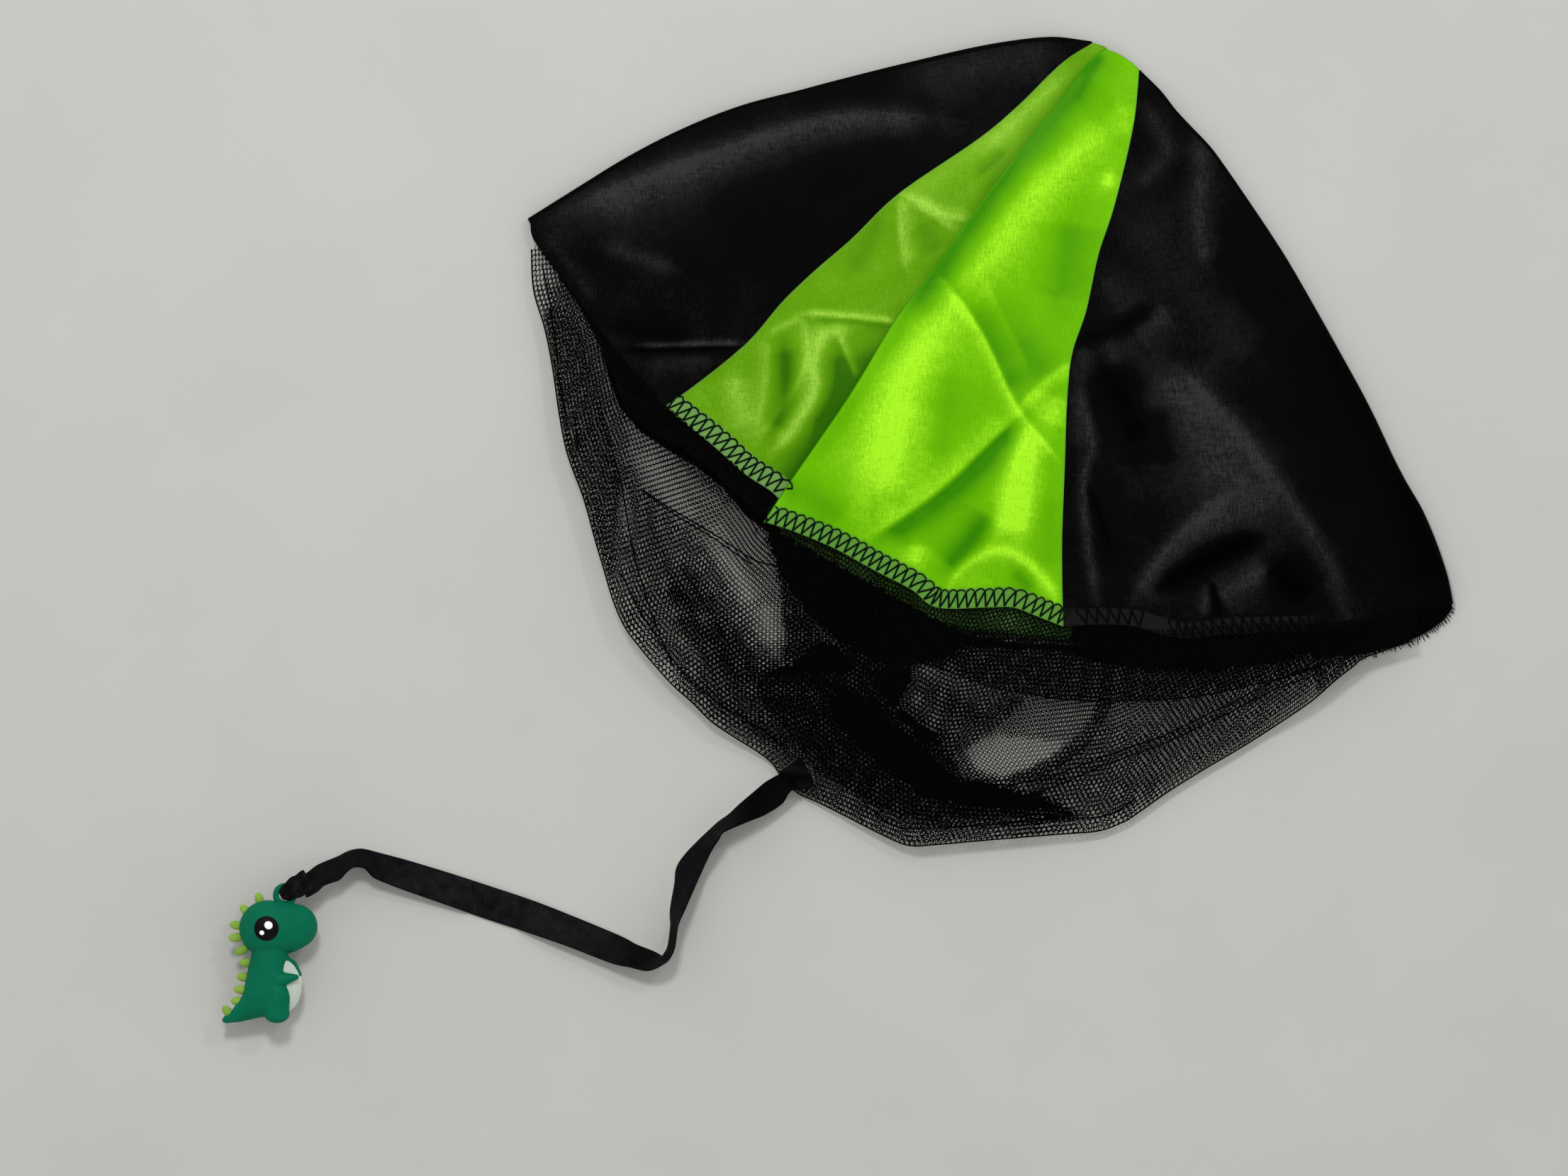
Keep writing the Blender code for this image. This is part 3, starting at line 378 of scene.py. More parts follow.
def makeLoop():
    # the ribbon goes down through the ring, round its wire and back up along itself
    e = ribbonEnds
    wire, reach = e["ringWire"], e["loopReach"]
    profile = Line([(reach + 0.0020, 0.0013), (reach, 0.0016), (0.0040, wire + 0.0002), (0.0015, wire + 0.0002),
                    (-0.0006, wire * 0.8), (-0.0011, 0), (-0.0006, -wire * 0.8), (0.0015, -wire - 0.0001),
                    (0.0040, -wire), (reach, -0.0014)], 6)
    shares, across = evenly(73), np.linspace(-1, 1, 21)
    track = profile.at(shares)
    widen = smoothStep((track[:, 0] + 0.0005) / 0.0065)
    rounded = np.sqrt(np.clip((track[:, 0] + 0.0014) / 0.0026, 0.10, 1))
    half = (e["noseWidth"] + (e["fullWidth"] - e["noseWidth"]) * widen) * rounded / 2
    crease = 0.00018 * np.sin(across[None] * 5 + shares[:, None] * 11)
    crease = crease + 0.00016 * np.sin(shares[:, None] * 29 + across[None])
    grid = np.stack([track[:, :1] + 0 * across[None],
                     half[:, None] * across[None] * (1 + 0.05 * np.sin(shares * 31))[:, None],
                     track[:, 1:] + crease * np.sign(track[:, 1:] + 1e-9)], -1)
    place = (*onTable(e["loopPixels"]), ribbon["eyeletHeight"])
    return ribbonEnd("ribbonLoop", grid, 0.6, place, e["loopTurn"], "ribbon_loop")


ribbonPiece, ribbonCentre = makeRibbon()
makeTab()
makeLoop()

# ---- table, lamp and room light
tableFinish = plainFinish("paleTable", (0.480, 0.476, 0.455), (0.505, 0.501, 0.479), 0.7, 14, 0.1, 0.0002,
                          specularIorLevel=0.2)
bm = bmesh.new()
bmesh.ops.create_grid(bm, x_segments=8, y_segments=8, size=2.5)
tableMesh = bpy.data.meshes.new("tableTop")
bmesh.ops.translate(bm, vec=(0, 0, -0.0002), verts=bm.verts)
bm.to_mesh(tableMesh)
bm.free()
tableMesh.materials.append(tableFinish)
tableTop = intoScene("tableTop", tableMesh)

lamps = {"softLamp": {"place": (-0.24, 0.55, 1.28), "size": 0.26, "watts": 8.2},
         "sideLamp": {"place": (0.60, 0.72, 1.15), "size": 0.14, "watts": 2.3}}
for name, lamp in lamps.items():
    lampData = bpy.data.lights.new(name, "AREA")
    lampData.shape = "DISK"
    lampData.size = lamp["size"]
    lampData.energy = lamp["watts"]
    lampObject = intoScene(name, lampData)
    lampObject.location = lamp["place"]
    lampObject.rotation_euler = Vector(lamp["place"]).to_track_quat("Z", "Y").to_euler()

room = {"overhead": 0.47, "sides": 1.00}
world = bpy.data.worlds.new("room")
world.use_nodes = True
bpy.context.scene.world = world
background = world.node_tree.nodes["Background"]
background.inputs["Color"].default_value = (1.0, 1.0, 0.99, 1.0)
direction = world.node_tree.nodes.new("ShaderNodeTexCoord")
upDown = world.node_tree.nodes.new("ShaderNodeSeparateXYZ")
level = world.node_tree.nodes.new("ShaderNodeMapRange")
level.interpolation_type = "SMOOTHSTEP"
for key, value in {"From Min": 0.25, "From Max": 0.95, "To Min": room["sides"], "To Max": room["overhead"]}.items():
    level.inputs[key].default_value = value
world.node_tree.links.new(direction.outputs["Generated"], upDown.inputs[0])
world.node_tree.links.new(upDown.outputs["Z"], level.inputs["Value"])
world.node_tree.links.new(level.outputs["Result"], background.inputs["Strength"])
print("camera, ribbon, table and light made")

# ---- canopy outlines, each from the apex to the hem, and hems from left to right, in picture pixels
canopyLines = {
    "leftFold": [(1540, 60), (1520, 56.5), (1495, 54.5), (1460, 55), (1383, 66.5), (1272, 92), (1180, 115),
        (1120, 131), (1060, 146), (1003, 166), (940, 194), (880, 226), (820, 263), (745, 310)],
    "leftSeam": [(1541, 60.5), (1510, 79), (1482, 103), (1437, 148), (1380, 196), (1268, 273), (1201, 337),
        (1150, 381), (1103, 426), (1055, 482), (988, 537), (936, 574)],
    "pleat": [(1560, 68), (1537, 86), (1519, 107), (1490, 147), (1454, 192), (1375, 297), (1312, 385), (1262, 452),
        (1214, 532), (1179, 586), (1112, 683), (1077, 737)],
    "underFold": [(1568, 77), (1539, 118), (1480, 205), (1405, 312), (1347, 402), (1300, 470), (1256, 550),
        (1218, 604), (1155, 692), (1120, 734)],
    "rightSeam": [(1607, 98), (1605, 125), (1600, 170), (1589, 223), (1569, 300), (1549, 361), (1532, 439),
        (1512, 500), (1505, 566), (1502, 649), (1498, 770), (1500, 884)],
    "rightFold": [(1608, 98.5), (1620, 109), (1640, 131), (1661, 158), (1681, 179), (1716, 218), (1800, 341),
        (1847, 420), (1903, 520), (1930, 570), (1954, 620), (1977, 668), (2006, 718), (2028, 770), (2044, 820),
        (2050, 852)],
    "backLeftSeam": [(1560, 100), (1460, 270), (1320, 460), (1190, 630), (1088, 754)],
    "backRightSeam": [(1592, 122), (1602, 300), (1580, 520), (1545, 720), (1510, 905)],
    "leftBlackHem": [(745, 310), (753, 338), (785, 384), (839, 461), (900, 530), (936, 574)],
    "leftGreenHem": [(936, 574), (1000, 624), (1050, 668), (1095, 698), (1120, 734)],
    "rightGreenHem": [(1077, 737), (1118, 750), (1179, 775), (1232, 804), (1286, 832), (1321, 857), (1393, 857),
        (1429, 857), (1464, 870), (1500, 884)],
    "rightBlackHem": [(1500, 884), (1560, 881), (1600, 884), (1640, 896), (1680, 901), (1727, 895), (1800, 893),
        (1850, 890), (1900, 884), (1960, 880), (2050, 852)],
    "backLeftHem": [(745, 310), (787, 380), (838, 465), (862, 540), (885, 592), (944, 636), (1000, 670), (1042, 712),
        (1060, 740), (1088, 754)],
    "backGreenHem": [(1088, 754), (1150, 790), (1230, 835), (1320, 884), (1400, 896), (1510, 905)],
    "backRightHem": [(2050, 852), (2034, 878), (1992, 898), (1926, 914), (1800, 922), (1700, 925), (1600, 920),
        (1510, 905)]}
canopy = {"cloth": 0.0004, "edgeHeight": 0.0036, "loftHeight": 0.0095, "loftReach": 0.045, "apexHeight": 0.0014,
          "pleatStep": 0.0011, "seamGap": 0.00006, "softPasses": 40, "rows": 210, "backLevel": 0.0005,
          "foldShare": 0.42}


def lineOf(name, shift=0.0):
    line = traced(canopyLines[name])
    if not shift:
        return line
    shares = evenly(4 * len(canopyLines[name]))
    return Line(line.at(shares) + line.side(shares) * shift, 3)


def findRim():
    rim = KDTree(4000)
    count = 0
    for name in ("leftFold", "leftBlackHem", "leftGreenHem", "rightGreenHem", "rightBlackHem", "rightFold"):
        line = lineOf(name)
        for x, y in line.at(evenly(int(line.length / 0.0006))):
            rim.insert((x, y, 0), count)
            count += 1
    rim.balance()
    return rim


rimTree = findRim()

# Folds: points in picture pixels, reach to the left and to the right of the line in pixels,
# lift in millimetres, and the painted shading there: painted highlight above 0, painted shade below 0
leftFacetFolds = [
    ([(1270, 277), (1270, 327), (1277, 380)], 18, 4, 0.55, 0.65),
    ([(1272, 275), (1328, 303), (1366, 311)], 11, 4, 0.55, 0.70),
    ([(1300, 315), (1320, 360)], 24, 24, -0.30, -0.35),
    ([(1143, 436), (1208, 408), (1266, 388), (1308, 380)], 26, 12, 0.35, -0.05),
    ([(1132, 443), (1189, 446), (1266, 455)], 5, 3, 0.60, 1.00),
    ([(1150, 451), (1200, 453), (1262, 461)], 2, 12, -0.30, -0.60),
    ([(1086, 472), (1132, 446)], 6, 6, 0.40, 0.45),
    ([(1132, 450), (1139, 492), (1128, 537), (1097, 583), (1066, 625)], 6, 8, 0.55, 0.50),
    ([(1215, 462), (1165, 472), (1149, 507), (1147, 557), (1113, 614), (1090, 640)], 10, 13, 0.90, 0.95),
    ([(1182, 472), (1208, 534)], 8, 3, 0.35, 0.75),
    ([(1078, 480), (1082, 518), (1067, 614)], 6, 9, 0.40, 0.40),
    ([(1036, 530), (1040, 560), (1055, 606)], 18, 18, 0.50, 0.60),
    ([(1106, 486), (1108, 560), (1088, 610)], 16, 14, -0.50, -1.10),
    ([(1184, 495), (1186, 560), (1154, 615)], 17, 15, -0.50, -1.10),
    ([(1400, 190), (1330, 250), (1300, 280)], 16, 18, 0.20, 0.15),
    ([(1500, 108), (1440, 165), (1390, 215)], 10, 12, 0.15, 0.50),
    ([(1290, 285), (1310, 300), (1345, 325)], 10, 4, 0.20, 0.60),
    ([(1240, 300), (1225, 350), (1200, 385)], 12, 16, -0.15, -0.35),
    ([(1420, 215), (1380, 250)], 5, 12, -0.20, -0.50),
    ([(1250, 480), (1204, 560), (1134, 655), (1094, 715)], 34, 26, -0.20, -1.10),
    ([(1545, 85), (1440, 205), (1370, 295)], 16, 8, 0.0, -0.35),
    ([(1000, 560), (960, 590)], 14, 14, 0.20, 0.15)]
rightFacetFolds = [
    ([(1546, 80), (1508, 128), (1462, 190), (1392, 285), (1322, 385), (1267, 462)], 30, 26, -0.25, -1.15),
    ([(1558, 76), (1530, 106), (1502, 140)], 12, 12, 0.0, -0.60),
    ([(1340, 520), (1335, 590), (1320, 650)], 26, 22, 0.0, -0.35),
    ([(1390, 395), (1420, 460), (1450, 520)], 3, 26, 0.0, 0.30),
    ([(1275, 462), (1220, 545), (1150, 650)], 10, 16, 0.0, -0.25),
    ([(1530, 200), (1490, 245), (1430, 310), (1370, 400), (1310, 480), (1262, 560), (1236, 640), (1215, 725)],
     34, 32, 1.20, 0.90),
    ([(1275, 560), (1255, 640), (1240, 700)], 52, 10, 0.20, 0.55),
    ([(1455, 600), (1440, 660), (1420, 720), (1400, 762)], 20, 22, 0.30, 0.75),
    ([(1333, 398), (1372, 450), (1399, 500), (1424, 555), (1449, 597), (1493, 648)], 3, 9, 0.70, 0.80),
    ([(1338, 404), (1375, 450), (1402, 498), (1430, 562)], 44, 4, -0.40, -0.85),
    ([(1512, 513), (1475, 538), (1440, 572)], 16, 4, 0.50, 0.85),
    ([(1495, 560), (1480, 600)], 20, 20, 0.35, 0.70), ([(1440, 470), (1478, 530), (1495, 570)], 24, 24, 0.0, -0.35),
    ([(1436, 592), (1400, 628), (1342, 684), (1285, 728), (1238, 758)], 28, 4, -0.90, -1.30),
    ([(1430, 588), (1394, 622), (1336, 678), (1279, 722), (1233, 751)], 4, 20, 0.45, 0.50),
    ([(1398, 724), (1372, 760), (1335, 805)], 18, 22, -0.60, -1.10),
    ([(1447, 618), (1443, 680), (1438, 760)], 18, 20, 0.60, 1.00),
    ([(1291, 768), (1293, 795)], 16, 16, 0.45, 0.75),
    ([(1338, 828), (1363, 797), (1405, 777), (1443, 788), (1481, 829), (1491, 852)], 8, 8, 0.85, 0.95),
    ([(1430, 805), (1455, 835)], 12, 12, -0.50, -0.60),
    ([(1385, 810), (1370, 835)], 16, 16, -0.20, 0.15),
    ([(1560, 180), (1540, 200), (1500, 235)], 22, 22, 0.40, 0.35),
    ([(1580, 150), (1590, 190)], 16, 16, 0.25, 0.40),
    ([(1510, 310), (1500, 370), (1490, 430)], 40, 30, -0.40, -0.60),
    ([(1566, 245), (1560, 265)], 10, 10, 0.25, 0.80),
    ([(1480, 700), (1480, 800)], 16, 16, -0.25, -0.25),
    ([(1100, 692), (1140, 700), (1190, 735)], 26, 24, 0.20, -0.45)]
leftBlackFolds = [
    ([(796, 298), (902, 254), (1017, 214), (1113, 182), (1200, 166), (1330, 168)], 14, 44, 1.30, 1.00),
    ([(1290, 112), (1400, 90), (1490, 78)], 36, 40, 0.30, 0.45),
    ([(850, 345), (900, 362), (955, 382)], 12, 13, 0.60, 0.50),
    ([(900, 488), (980, 486), (1048, 485)], 5, 4, 1.00, 1.00),
    ([(880, 496), (1045, 492)], 5, 5, -0.90, -1.00),
    ([(915, 515), (1010, 508)], 12, 14, 0.40, 0.40),
    ([(770, 330), (805, 375), (840, 425)], 9, 9, 0.60, 0.35),
    ([(1000, 340), (1150, 262), (1300, 205)], 60, 60, -0.60, -0.60),
    ([(860, 458), (920, 474), (970, 478)], 14, 8, 0.0, -0.70)]
rightBlackFolds = [
    ([(1691, 190), (1694, 250), (1691, 310), (1702, 380)], 20, 16, 0.60, 0.65),
    ([(1615, 150), (1646, 215), (1600, 265)], 12, 14, 0.35, 0.50),
    ([(1650, 440), (1600, 478)], 24, 18, 0.40, 0.60),
    ([(1521, 486), (1575, 468), (1625, 435)], 11, 11, -0.60, -0.75),
    ([(1630, 520), (1720, 640), (1790, 740)], 40, 72, 0.40, 0.75),
    ([(1660, 520), (1740, 600), (1800, 680), (1845, 745), (1877, 800), (1901, 871)], 12, 18, 1.10, 0.60),
    ([(1555, 510), (1585, 570), (1610, 630)], 26, 24, -0.50, -1.00),
    ([(1727, 700), (1667, 752), (1628, 798), (1596, 848)], 30, 10, 0.90, 0.80),
    ([(1775, 760), (1700, 792), (1636, 830)], 12, 15, -0.90, -1.70),
    ([(1715, 845), (1790, 800)], 26, 26, 0.30, 0.70),
    ([(1795, 795), (1840, 850)], 26, 24, -0.60, -1.10),
    ([(1525, 551), (1541, 630), (1529, 670), (1533, 757), (1549, 856)], 7, 9, 0.80, 0.70),
    ([(1537, 686), (1552, 730), (1569, 780)], 4, 8, -0.80, -0.80),
    ([(1704, 822), (1694, 868)], 10, 6, 0.70, 0.60),
    ([(1709, 822), (1723, 874)], 4, 7, -0.80, -1.10),
    ([(1535, 480), (1521, 560), (1524, 640)], 12, 14, 0.0, 0.45), ([(1640, 570), (1645, 660)], 20, 20, 0.0, -0.50),
    ([(1600, 300), (1680, 400), (1760, 520)], 60, 46, 0.0, 0.35), ([(1560, 390), (1590, 440)], 24, 24, 0.0, 0.35),
    ([(1558, 470), (1575, 530)], 22, 24, 0.0, 0.60), ([(1600, 590), (1605, 660)], 18, 18, 0.0, -0.40),
    ([(1870, 420), (1945, 560), (2000, 720), (2030, 850)], 44, 44, 0.0, -1.00),
    ([(1700, 300), (1810, 480), (1930, 720)], 60, 70, -0.30, -0.25)]


def strokeMarks(points, folds, taper=0.14):
    # lift and painted shading (painted highlight and shade) that the folds give to places on the table; the net uses
    # the second as its density
    places = points.reshape(-1, 2)
    lift, tone = np.zeros(len(places)), np.zeros(len(places))
    for line, leftReach, rightReach, height, shade in folds:
        route = Line(onTable(line), 5)
        best = np.full(len(places), 1e9)
        turn, along = np.zeros(len(places)), np.zeros(len(places))
        for start, end, gone in zip(route.dense, route.dense[1:], route.reach):
            span = end - start
            share = np.clip(((places - start) @ span) / (span @ span), 0, 1)
            away = places - start - share[:, None] * span
            far = np.hypot(away[:, 0], away[:, 1])
            nearer = far < best
            best = np.where(nearer, far, best)
            turn = np.where(nearer, span[0] * away[:, 1] - span[1] * away[:, 0], turn)
            along = np.where(nearer, (gone + share * math.hypot(*span)) / route.length, along)
        reach = np.where(turn > 0, leftReach, rightReach) * pixel
        ends = 0.35 + 0.65 * smoothStep(np.minimum(along, 1 - along) / taper)
        shape = np.exp(-(best / (reach * (0.5 + 0.5 * ends))) ** 1.6) * ends
        lift += height * millimetre * canopy["foldShare"] * shape
        tone += shade * shape
    return lift.reshape(points.shape[:-1]), np.clip(tone, -1, 1).reshape(points.shape[:-1])


def rimDistance(points):
    places = points.reshape(-1, 2)
    return np.array([rimTree.find((x, y, 0))[2] for x, y in places]).reshape(points.shape[:-1])


def softened(values, passes):
    for _ in range(passes):
        inner = (values[:-2, 1:-1] + values[2:, 1:-1] + values[1:-1, :-2] + values[1:-1, 2:]) / 4
        values[1:-1, 1:-1] = inner
    return values


def frontHeight(points, folds):
    near = rimDistance(points)
    lift, tone = strokeMarks(points, folds)
    full = softened(smoothStep(near / canopy["loftReach"]), canopy["softPasses"])
    free = smoothStep(4 * near / canopy["loftReach"])
    height = canopy["edgeHeight"] + (canopy["loftHeight"] - canopy["edgeHeight"]) * full + lift * (0.25 + 0.75 * free)
    return height, tone


def risen(us):
    return smoothStep(us * 12 + 0.15)[:, None]


def lineDistance(points, line):
    tree = KDTree(800)
    for index, (x, y) in enumerate(line.at(evenly(800))):
        tree.insert((x, y, 0), index)
    tree.balance()
    places = points.reshape(-1, 2)
    return np.array([tree.find((x, y, 0))[2] for x, y in places]).reshape(points.shape[:-1])


def bandAndSheenMarks(points, seams, hemLine, bandPixels, depth=0.9):
    # painted highlight along a seam's rolled edge, and inside the overlocked band the band's own paler colour, which
    # on the black hem is painted sheen
    pale = np.zeros(points.shape[:-1])
    for line in seams:
        pale = np.maximum(pale, 0.55 * np.exp(-(lineDistance(points, line) / (1.8 * pixel)) ** 2))
    if hemLine is not None:
        inside = lineDistance(points, hemLine) / pixel
        pale = np.maximum(pale, depth * (1 - smoothStep((inside - bandPixels + 2) / 3)))
    return pale


lime = {"tint": (0.60, 1.0, 0.12), "rightTurn": 90, "leftTurn": -42}
# both are the same lime satin: the left facet's copy is paler and duller, painted sheen, as its weave runs another way
# to the light
limeRight = satinFinish("limeSatinRight", (0.026, 0.205, 0.0004), (0.126, 0.440, 0.0008), (0.360, 0.840, 0.018),
                        (0.100, 0.265, 0.045), lime["rightTurn"], lime["tint"])
limeLeft = satinFinish("limeSatinLeft", (0.020, 0.120, 0.0008), (0.100, 0.295, 0.0024), (0.300, 0.580, 0.050),
                       (0.150, 0.310, 0.085), lime["leftTurn"], lime["tint"])
# the lime gore behind is only seen in the shade of the hem, through the net
limeShaded = satinFinish("limeSatinShaded", (0.030, 0.090, 0.018), (0.105, 0.230, 0.062), (0.180, 0.340, 0.100),
                         (0.100, 0.170, 0.075), lime["rightTurn"], lime["tint"])
# black satin's bright and band colours are painted sheen
blackSatin = satinFinish("blackSatin", (0.0001, 0.0002, 0.0001), (0.0018, 0.0020, 0.0018), (0.0288, 0.0308, 0.0283),
                         (0.0150, 0.0160, 0.0150), 15, (1.0, 1.0, 1.0), 0.46, 0.010, 0.30)


def makeGreenFront():
    us = evenly(canopy["rows"] + 1)
    gap = canopy["seamGap"] / 2
    seam, seamRight = lineOf("leftSeam", gap), lineOf("rightSeam", -gap)
    pleat, under = lineOf("pleat"), lineOf("underFold")
    leftHem = joined(seam.at(1), onTable(canopyLines["leftGreenHem"][1:]))
    rightHem = joined(onTable(canopyLines["rightGreenHem"][:-1]), seamRight.at(1))
    leftTop = joined(seam.at(0), onTable([(1558, 66)]), under.at(0))
    rightTop = joined(pleat.at(0), onTable([(1580, 77.5), (1596, 88)]), seamRight.at(0))
    radius = canopy["pleatStep"] / 2
    fold, turn = pleat.at(us), under.at(us)
    across = (turn - fold) / np.linalg.norm(turn - fold, axis=1, keepdims=True)
    bend = evenly(8)[1:-1]
    leftShares, middleShares, rightShares = evenly(61), evenly(6), evenly(101)

    left = patch(seam, under, leftTop, leftHem, us, leftShares)
    left -= (across * radius)[:, None] * smoothStep(leftShares * 2 - 1)[None, :, None]
    leftHigh, leftShading = frontHeight(left, leftFacetFolds)
    right = patch(pleat, seamRight, rightTop, rightHem, us, rightShares)
    right += (across * radius)[:, None] * (1 - smoothStep(rightShares * 3))[None, :, None]
    rightHigh, rightShading = frontHeight(right, rightFacetFolds)
    rightHigh += (2 * canopy["pleatStep"] * (1 - smoothStep(rightShares * 1.6 - 0.1)))[None]

    # the hidden strip between the two turns joins the facets' edges
    outTurn = left[:, -1][:, None] + (across * radius)[:, None] * np.sin(np.pi * bend)[None, :, None]
    inTurn = right[:, 0][:, None] - (across * radius)[:, None] * np.sin(np.pi * bend)[None, :, None]
    outLevel = leftHigh[:, -1][:, None] + radius * (1 - np.cos(np.pi * bend))[None]
    inLevel = rightHigh[:, 0][:, None] - radius * (1 + np.cos(np.pi * bend))[None]
    strip = left[:, -1][:, None] * (1 - middleShares)[None, :, None]
    strip = strip + right[:, 0][:, None] * middleShares[None, :, None]
    stripLevel = (leftHigh[:, -1] + 2 * radius)[:, None] * (1 - middleShares)[None]
    stripLevel += (rightHigh[:, 0] - 2 * radius)[:, None] * middleShares[None]
    flat = np.concatenate([left, outTurn, strip, inTurn, right], 1)
    high = np.concatenate([leftHigh, outLevel, stripLevel, inLevel, rightHigh], 1)
    levels = np.concatenate([0 * leftShares, radius * (1 - np.cos(np.pi * bend)), 2 * radius + 0 * middleShares,
                             radius * (3 - np.cos(np.pi * bend)),
                             4 * radius * (1 - smoothStep(rightShares * 1.6 - 0.1))])
    high = canopy["apexHeight"] + (high - canopy["apexHeight"]) * risen(us) + 0.6 * levels[None] * (1 - risen(us))
    # painted shade on the strip hidden inside the pleat
    hidden = np.full((len(us), len(bend) * 2 + len(middleShares)), -0.8)
    tone = np.concatenate([leftShading, hidden, rightShading], 1)
    bandAndSheenParts = [bandAndSheenMarks(left, [seam], leftHem, 27), np.zeros(hidden.shape),
                bandAndSheenMarks(right, [seamRight], rightHem, 27)]
    finishes = [0] * (len(leftShares) + len(bend) + 2) + [1] * 400
    bm = clothMesh(raised(flat, high), {"tone": tone, "pale": np.concatenate(bandAndSheenParts, 1)},
                   finishes)
    piece = finishPiece("limeFrontGore", bm, [limeLeft, limeRight], "parachute",
                        ["canopy_gore_front_green"], canopy["cloth"])
    return {"piece": piece, "leftHem": leftHem, "rightHem": rightHem}


def makeBlackGore(name, node, seam, foldName, hemName, backSeam, backHemName, side, folds, steps):
    us = evenly(canopy["rows"] + 1)
    outline = lineOf(foldName)
    back = canopy["backLevel"]
    widest = (canopy["edgeHeight"] - back) / 2
    shares = evenly(25)
    spread = widest * (0.2 + 0.8 * risen(shares))
    inner = Line(outline.at(shares) + outline.side(shares) * side * spread, 3)
    hemPoints = onTable(canopyLines[hemName])
    if side < 0:
        hemPoints = hemPoints[::-1]
    hem = joined(inner.at(1), hemPoints[1:-1], seam.at(1))
    top = joined(inner.at(0), seam.at(0))
    backHem = joined(inner.at(1), onTable(canopyLines[backHemName][1:-1]), backSeam.at(1))
    backTop = joined(inner.at(0), backSeam.at(0))
    frontShares, bend, backShares = evenly(steps + 1), evenly(10)[1:-1], evenly(13)

    front = patch(inner, seam, top, hem, us, 1 - frontShares)
    high, tone = frontHeight(front, folds)
    high = canopy["apexHeight"] + (high - canopy["apexHeight"]) * risen(us)
    edge = high[:, -1]
    radius = (edge - back) / 2
    reach = inner.side(us) * side * widest * (0.2 + 0.8 * risen(us))
    turn = inner.at(us)[:, None] - reach[:, None] * np.sin(np.pi * bend)[None, :, None]
    turnHigh = back + radius[:, None] * (1 + np.cos(np.pi * bend))[None]
    under = patch(inner, backSeam, backTop, backHem, us, backShares)
    underHigh = np.full(under.shape[:-1], back)
    flat = np.concatenate([front, turn, under], 1)
    grid = np.concatenate([flat, np.concatenate([high, turnHigh, underHigh], 1)[..., None]], -1)
    # painted sheen: the black hem band is greyer only below the right gore's folds
    sheenGrey = 0.50 * (1 - smoothStep((front[..., 0] - onTable((1820, 880))[0]) / (50 * pixel))) if side < 0 else 0.0
    pale = bandAndSheenMarks(front, [], hem, 24, sheenGrey)
    rest = np.zeros((len(us), len(bend) + len(backShares)))
    # the turn and the underside get a little painted shade
    bm = clothMesh(grid, {"tone": np.concatenate([tone, rest - 0.2], 1), "pale": np.concatenate([pale, rest], 1)})
    bmesh.ops.recalc_face_normals(bm, faces=bm.faces)
    piece = finishPiece(name, bm, [blackSatin], "parachute", [node], canopy["cloth"])
    return {"piece": piece, "hem": hem}


def makeGreenBack():
    gap = canopy["seamGap"] / 2
    left, right = lineOf("backLeftSeam", gap), lineOf("backRightSeam", -gap)
    top = joined(left.at(0), right.at(0))
    bottom = joined(left.at(1), onTable(canopyLines["backGreenHem"][1:-1]), right.at(1))
    us, vs = evenly(91), evenly(81)
    flat = patch(left, right, top, bottom, us, vs)
    waves = 0.0003 * np.sin(flat[..., 0] / 0.0035) * smoothStep(us * 4 - 3)[:, None]
    high = canopy["backLevel"] + np.maximum(waves, 0)
    # painted shade over the whole back gore, with lighter waves near its hem
    tone = -0.9 + 0.5 * np.sin(flat[..., 0] / 0.004) * smoothStep(us * 6 - 5)[:, None]
    bm = clothMesh(raised(flat, high), {"tone": tone, "pale": np.zeros(tone.shape)})
    piece = finishPiece("limeBackGore", bm, [limeShaded], "parachute", ["canopy_gore_back_green"],
                        canopy["cloth"])
    return piece


greenFront = makeGreenFront()
gap = canopy["seamGap"] / 2
leftBlack = makeBlackGore("blackLeftGore", "canopy_gore_left_black", lineOf("leftSeam", -gap), "leftFold",
                          "leftBlackHem", lineOf("backLeftSeam", -gap), "backLeftHem", 1, leftBlackFolds, 110)
rightBlack = makeBlackGore("blackRightGore", "canopy_gore_right_black", lineOf("rightSeam", gap), "rightFold",
                           "rightBlackHem", lineOf("backRightSeam", gap), "backRightHem", -1, rightBlackFolds, 110)
makeGreenBack()
print("canopy made")


# ---- small threads: tubes along lines of points
def threadPiece(name, strands, radius, material, body="parachute", sides=0):
    curve = bpy.data.curves.new(name, "CURVE")
    curve.dimensions = "3D"
    curve.bevel_depth = radius
    curve.bevel_resolution = sides
    for strand in strands:
        spline = curve.splines.new("POLY")
        spline.points.add(len(strand) - 1)
        for point, place in zip(spline.points, strand):
            point.co = (*place, 1.0)
    holder = intoScene(name + "Line", curve)
    mesh = bpy.data.meshes.new_from_object(holder.evaluated_get(bpy.context.evaluated_depsgraph_get()))
    bpy.data.objects.remove(holder)
    bm = bmesh.new()
    bm.from_mesh(mesh)
    bpy.data.meshes.remove(mesh)
    return finishPiece(name, bm, [material], body)


def surfaceOf(piece):
    bm = bmesh.new()
    bm.from_mesh(piece.data)
    tree = BVHTree.FromBMesh(bm)
    bm.free()
    return tree


def topOf(tree, x, y, otherwise=0.0):
    hit = tree.ray_cast(Vector((x, y, 0.1)), Vector((0, 0, -1)))[0]
    return otherwise if hit is None else hit.z


overlock = {"pitch": 13.0, "band": 23.0, "scallop": 4.0, "radius": 0.00031, "edgeIn": 1.0}


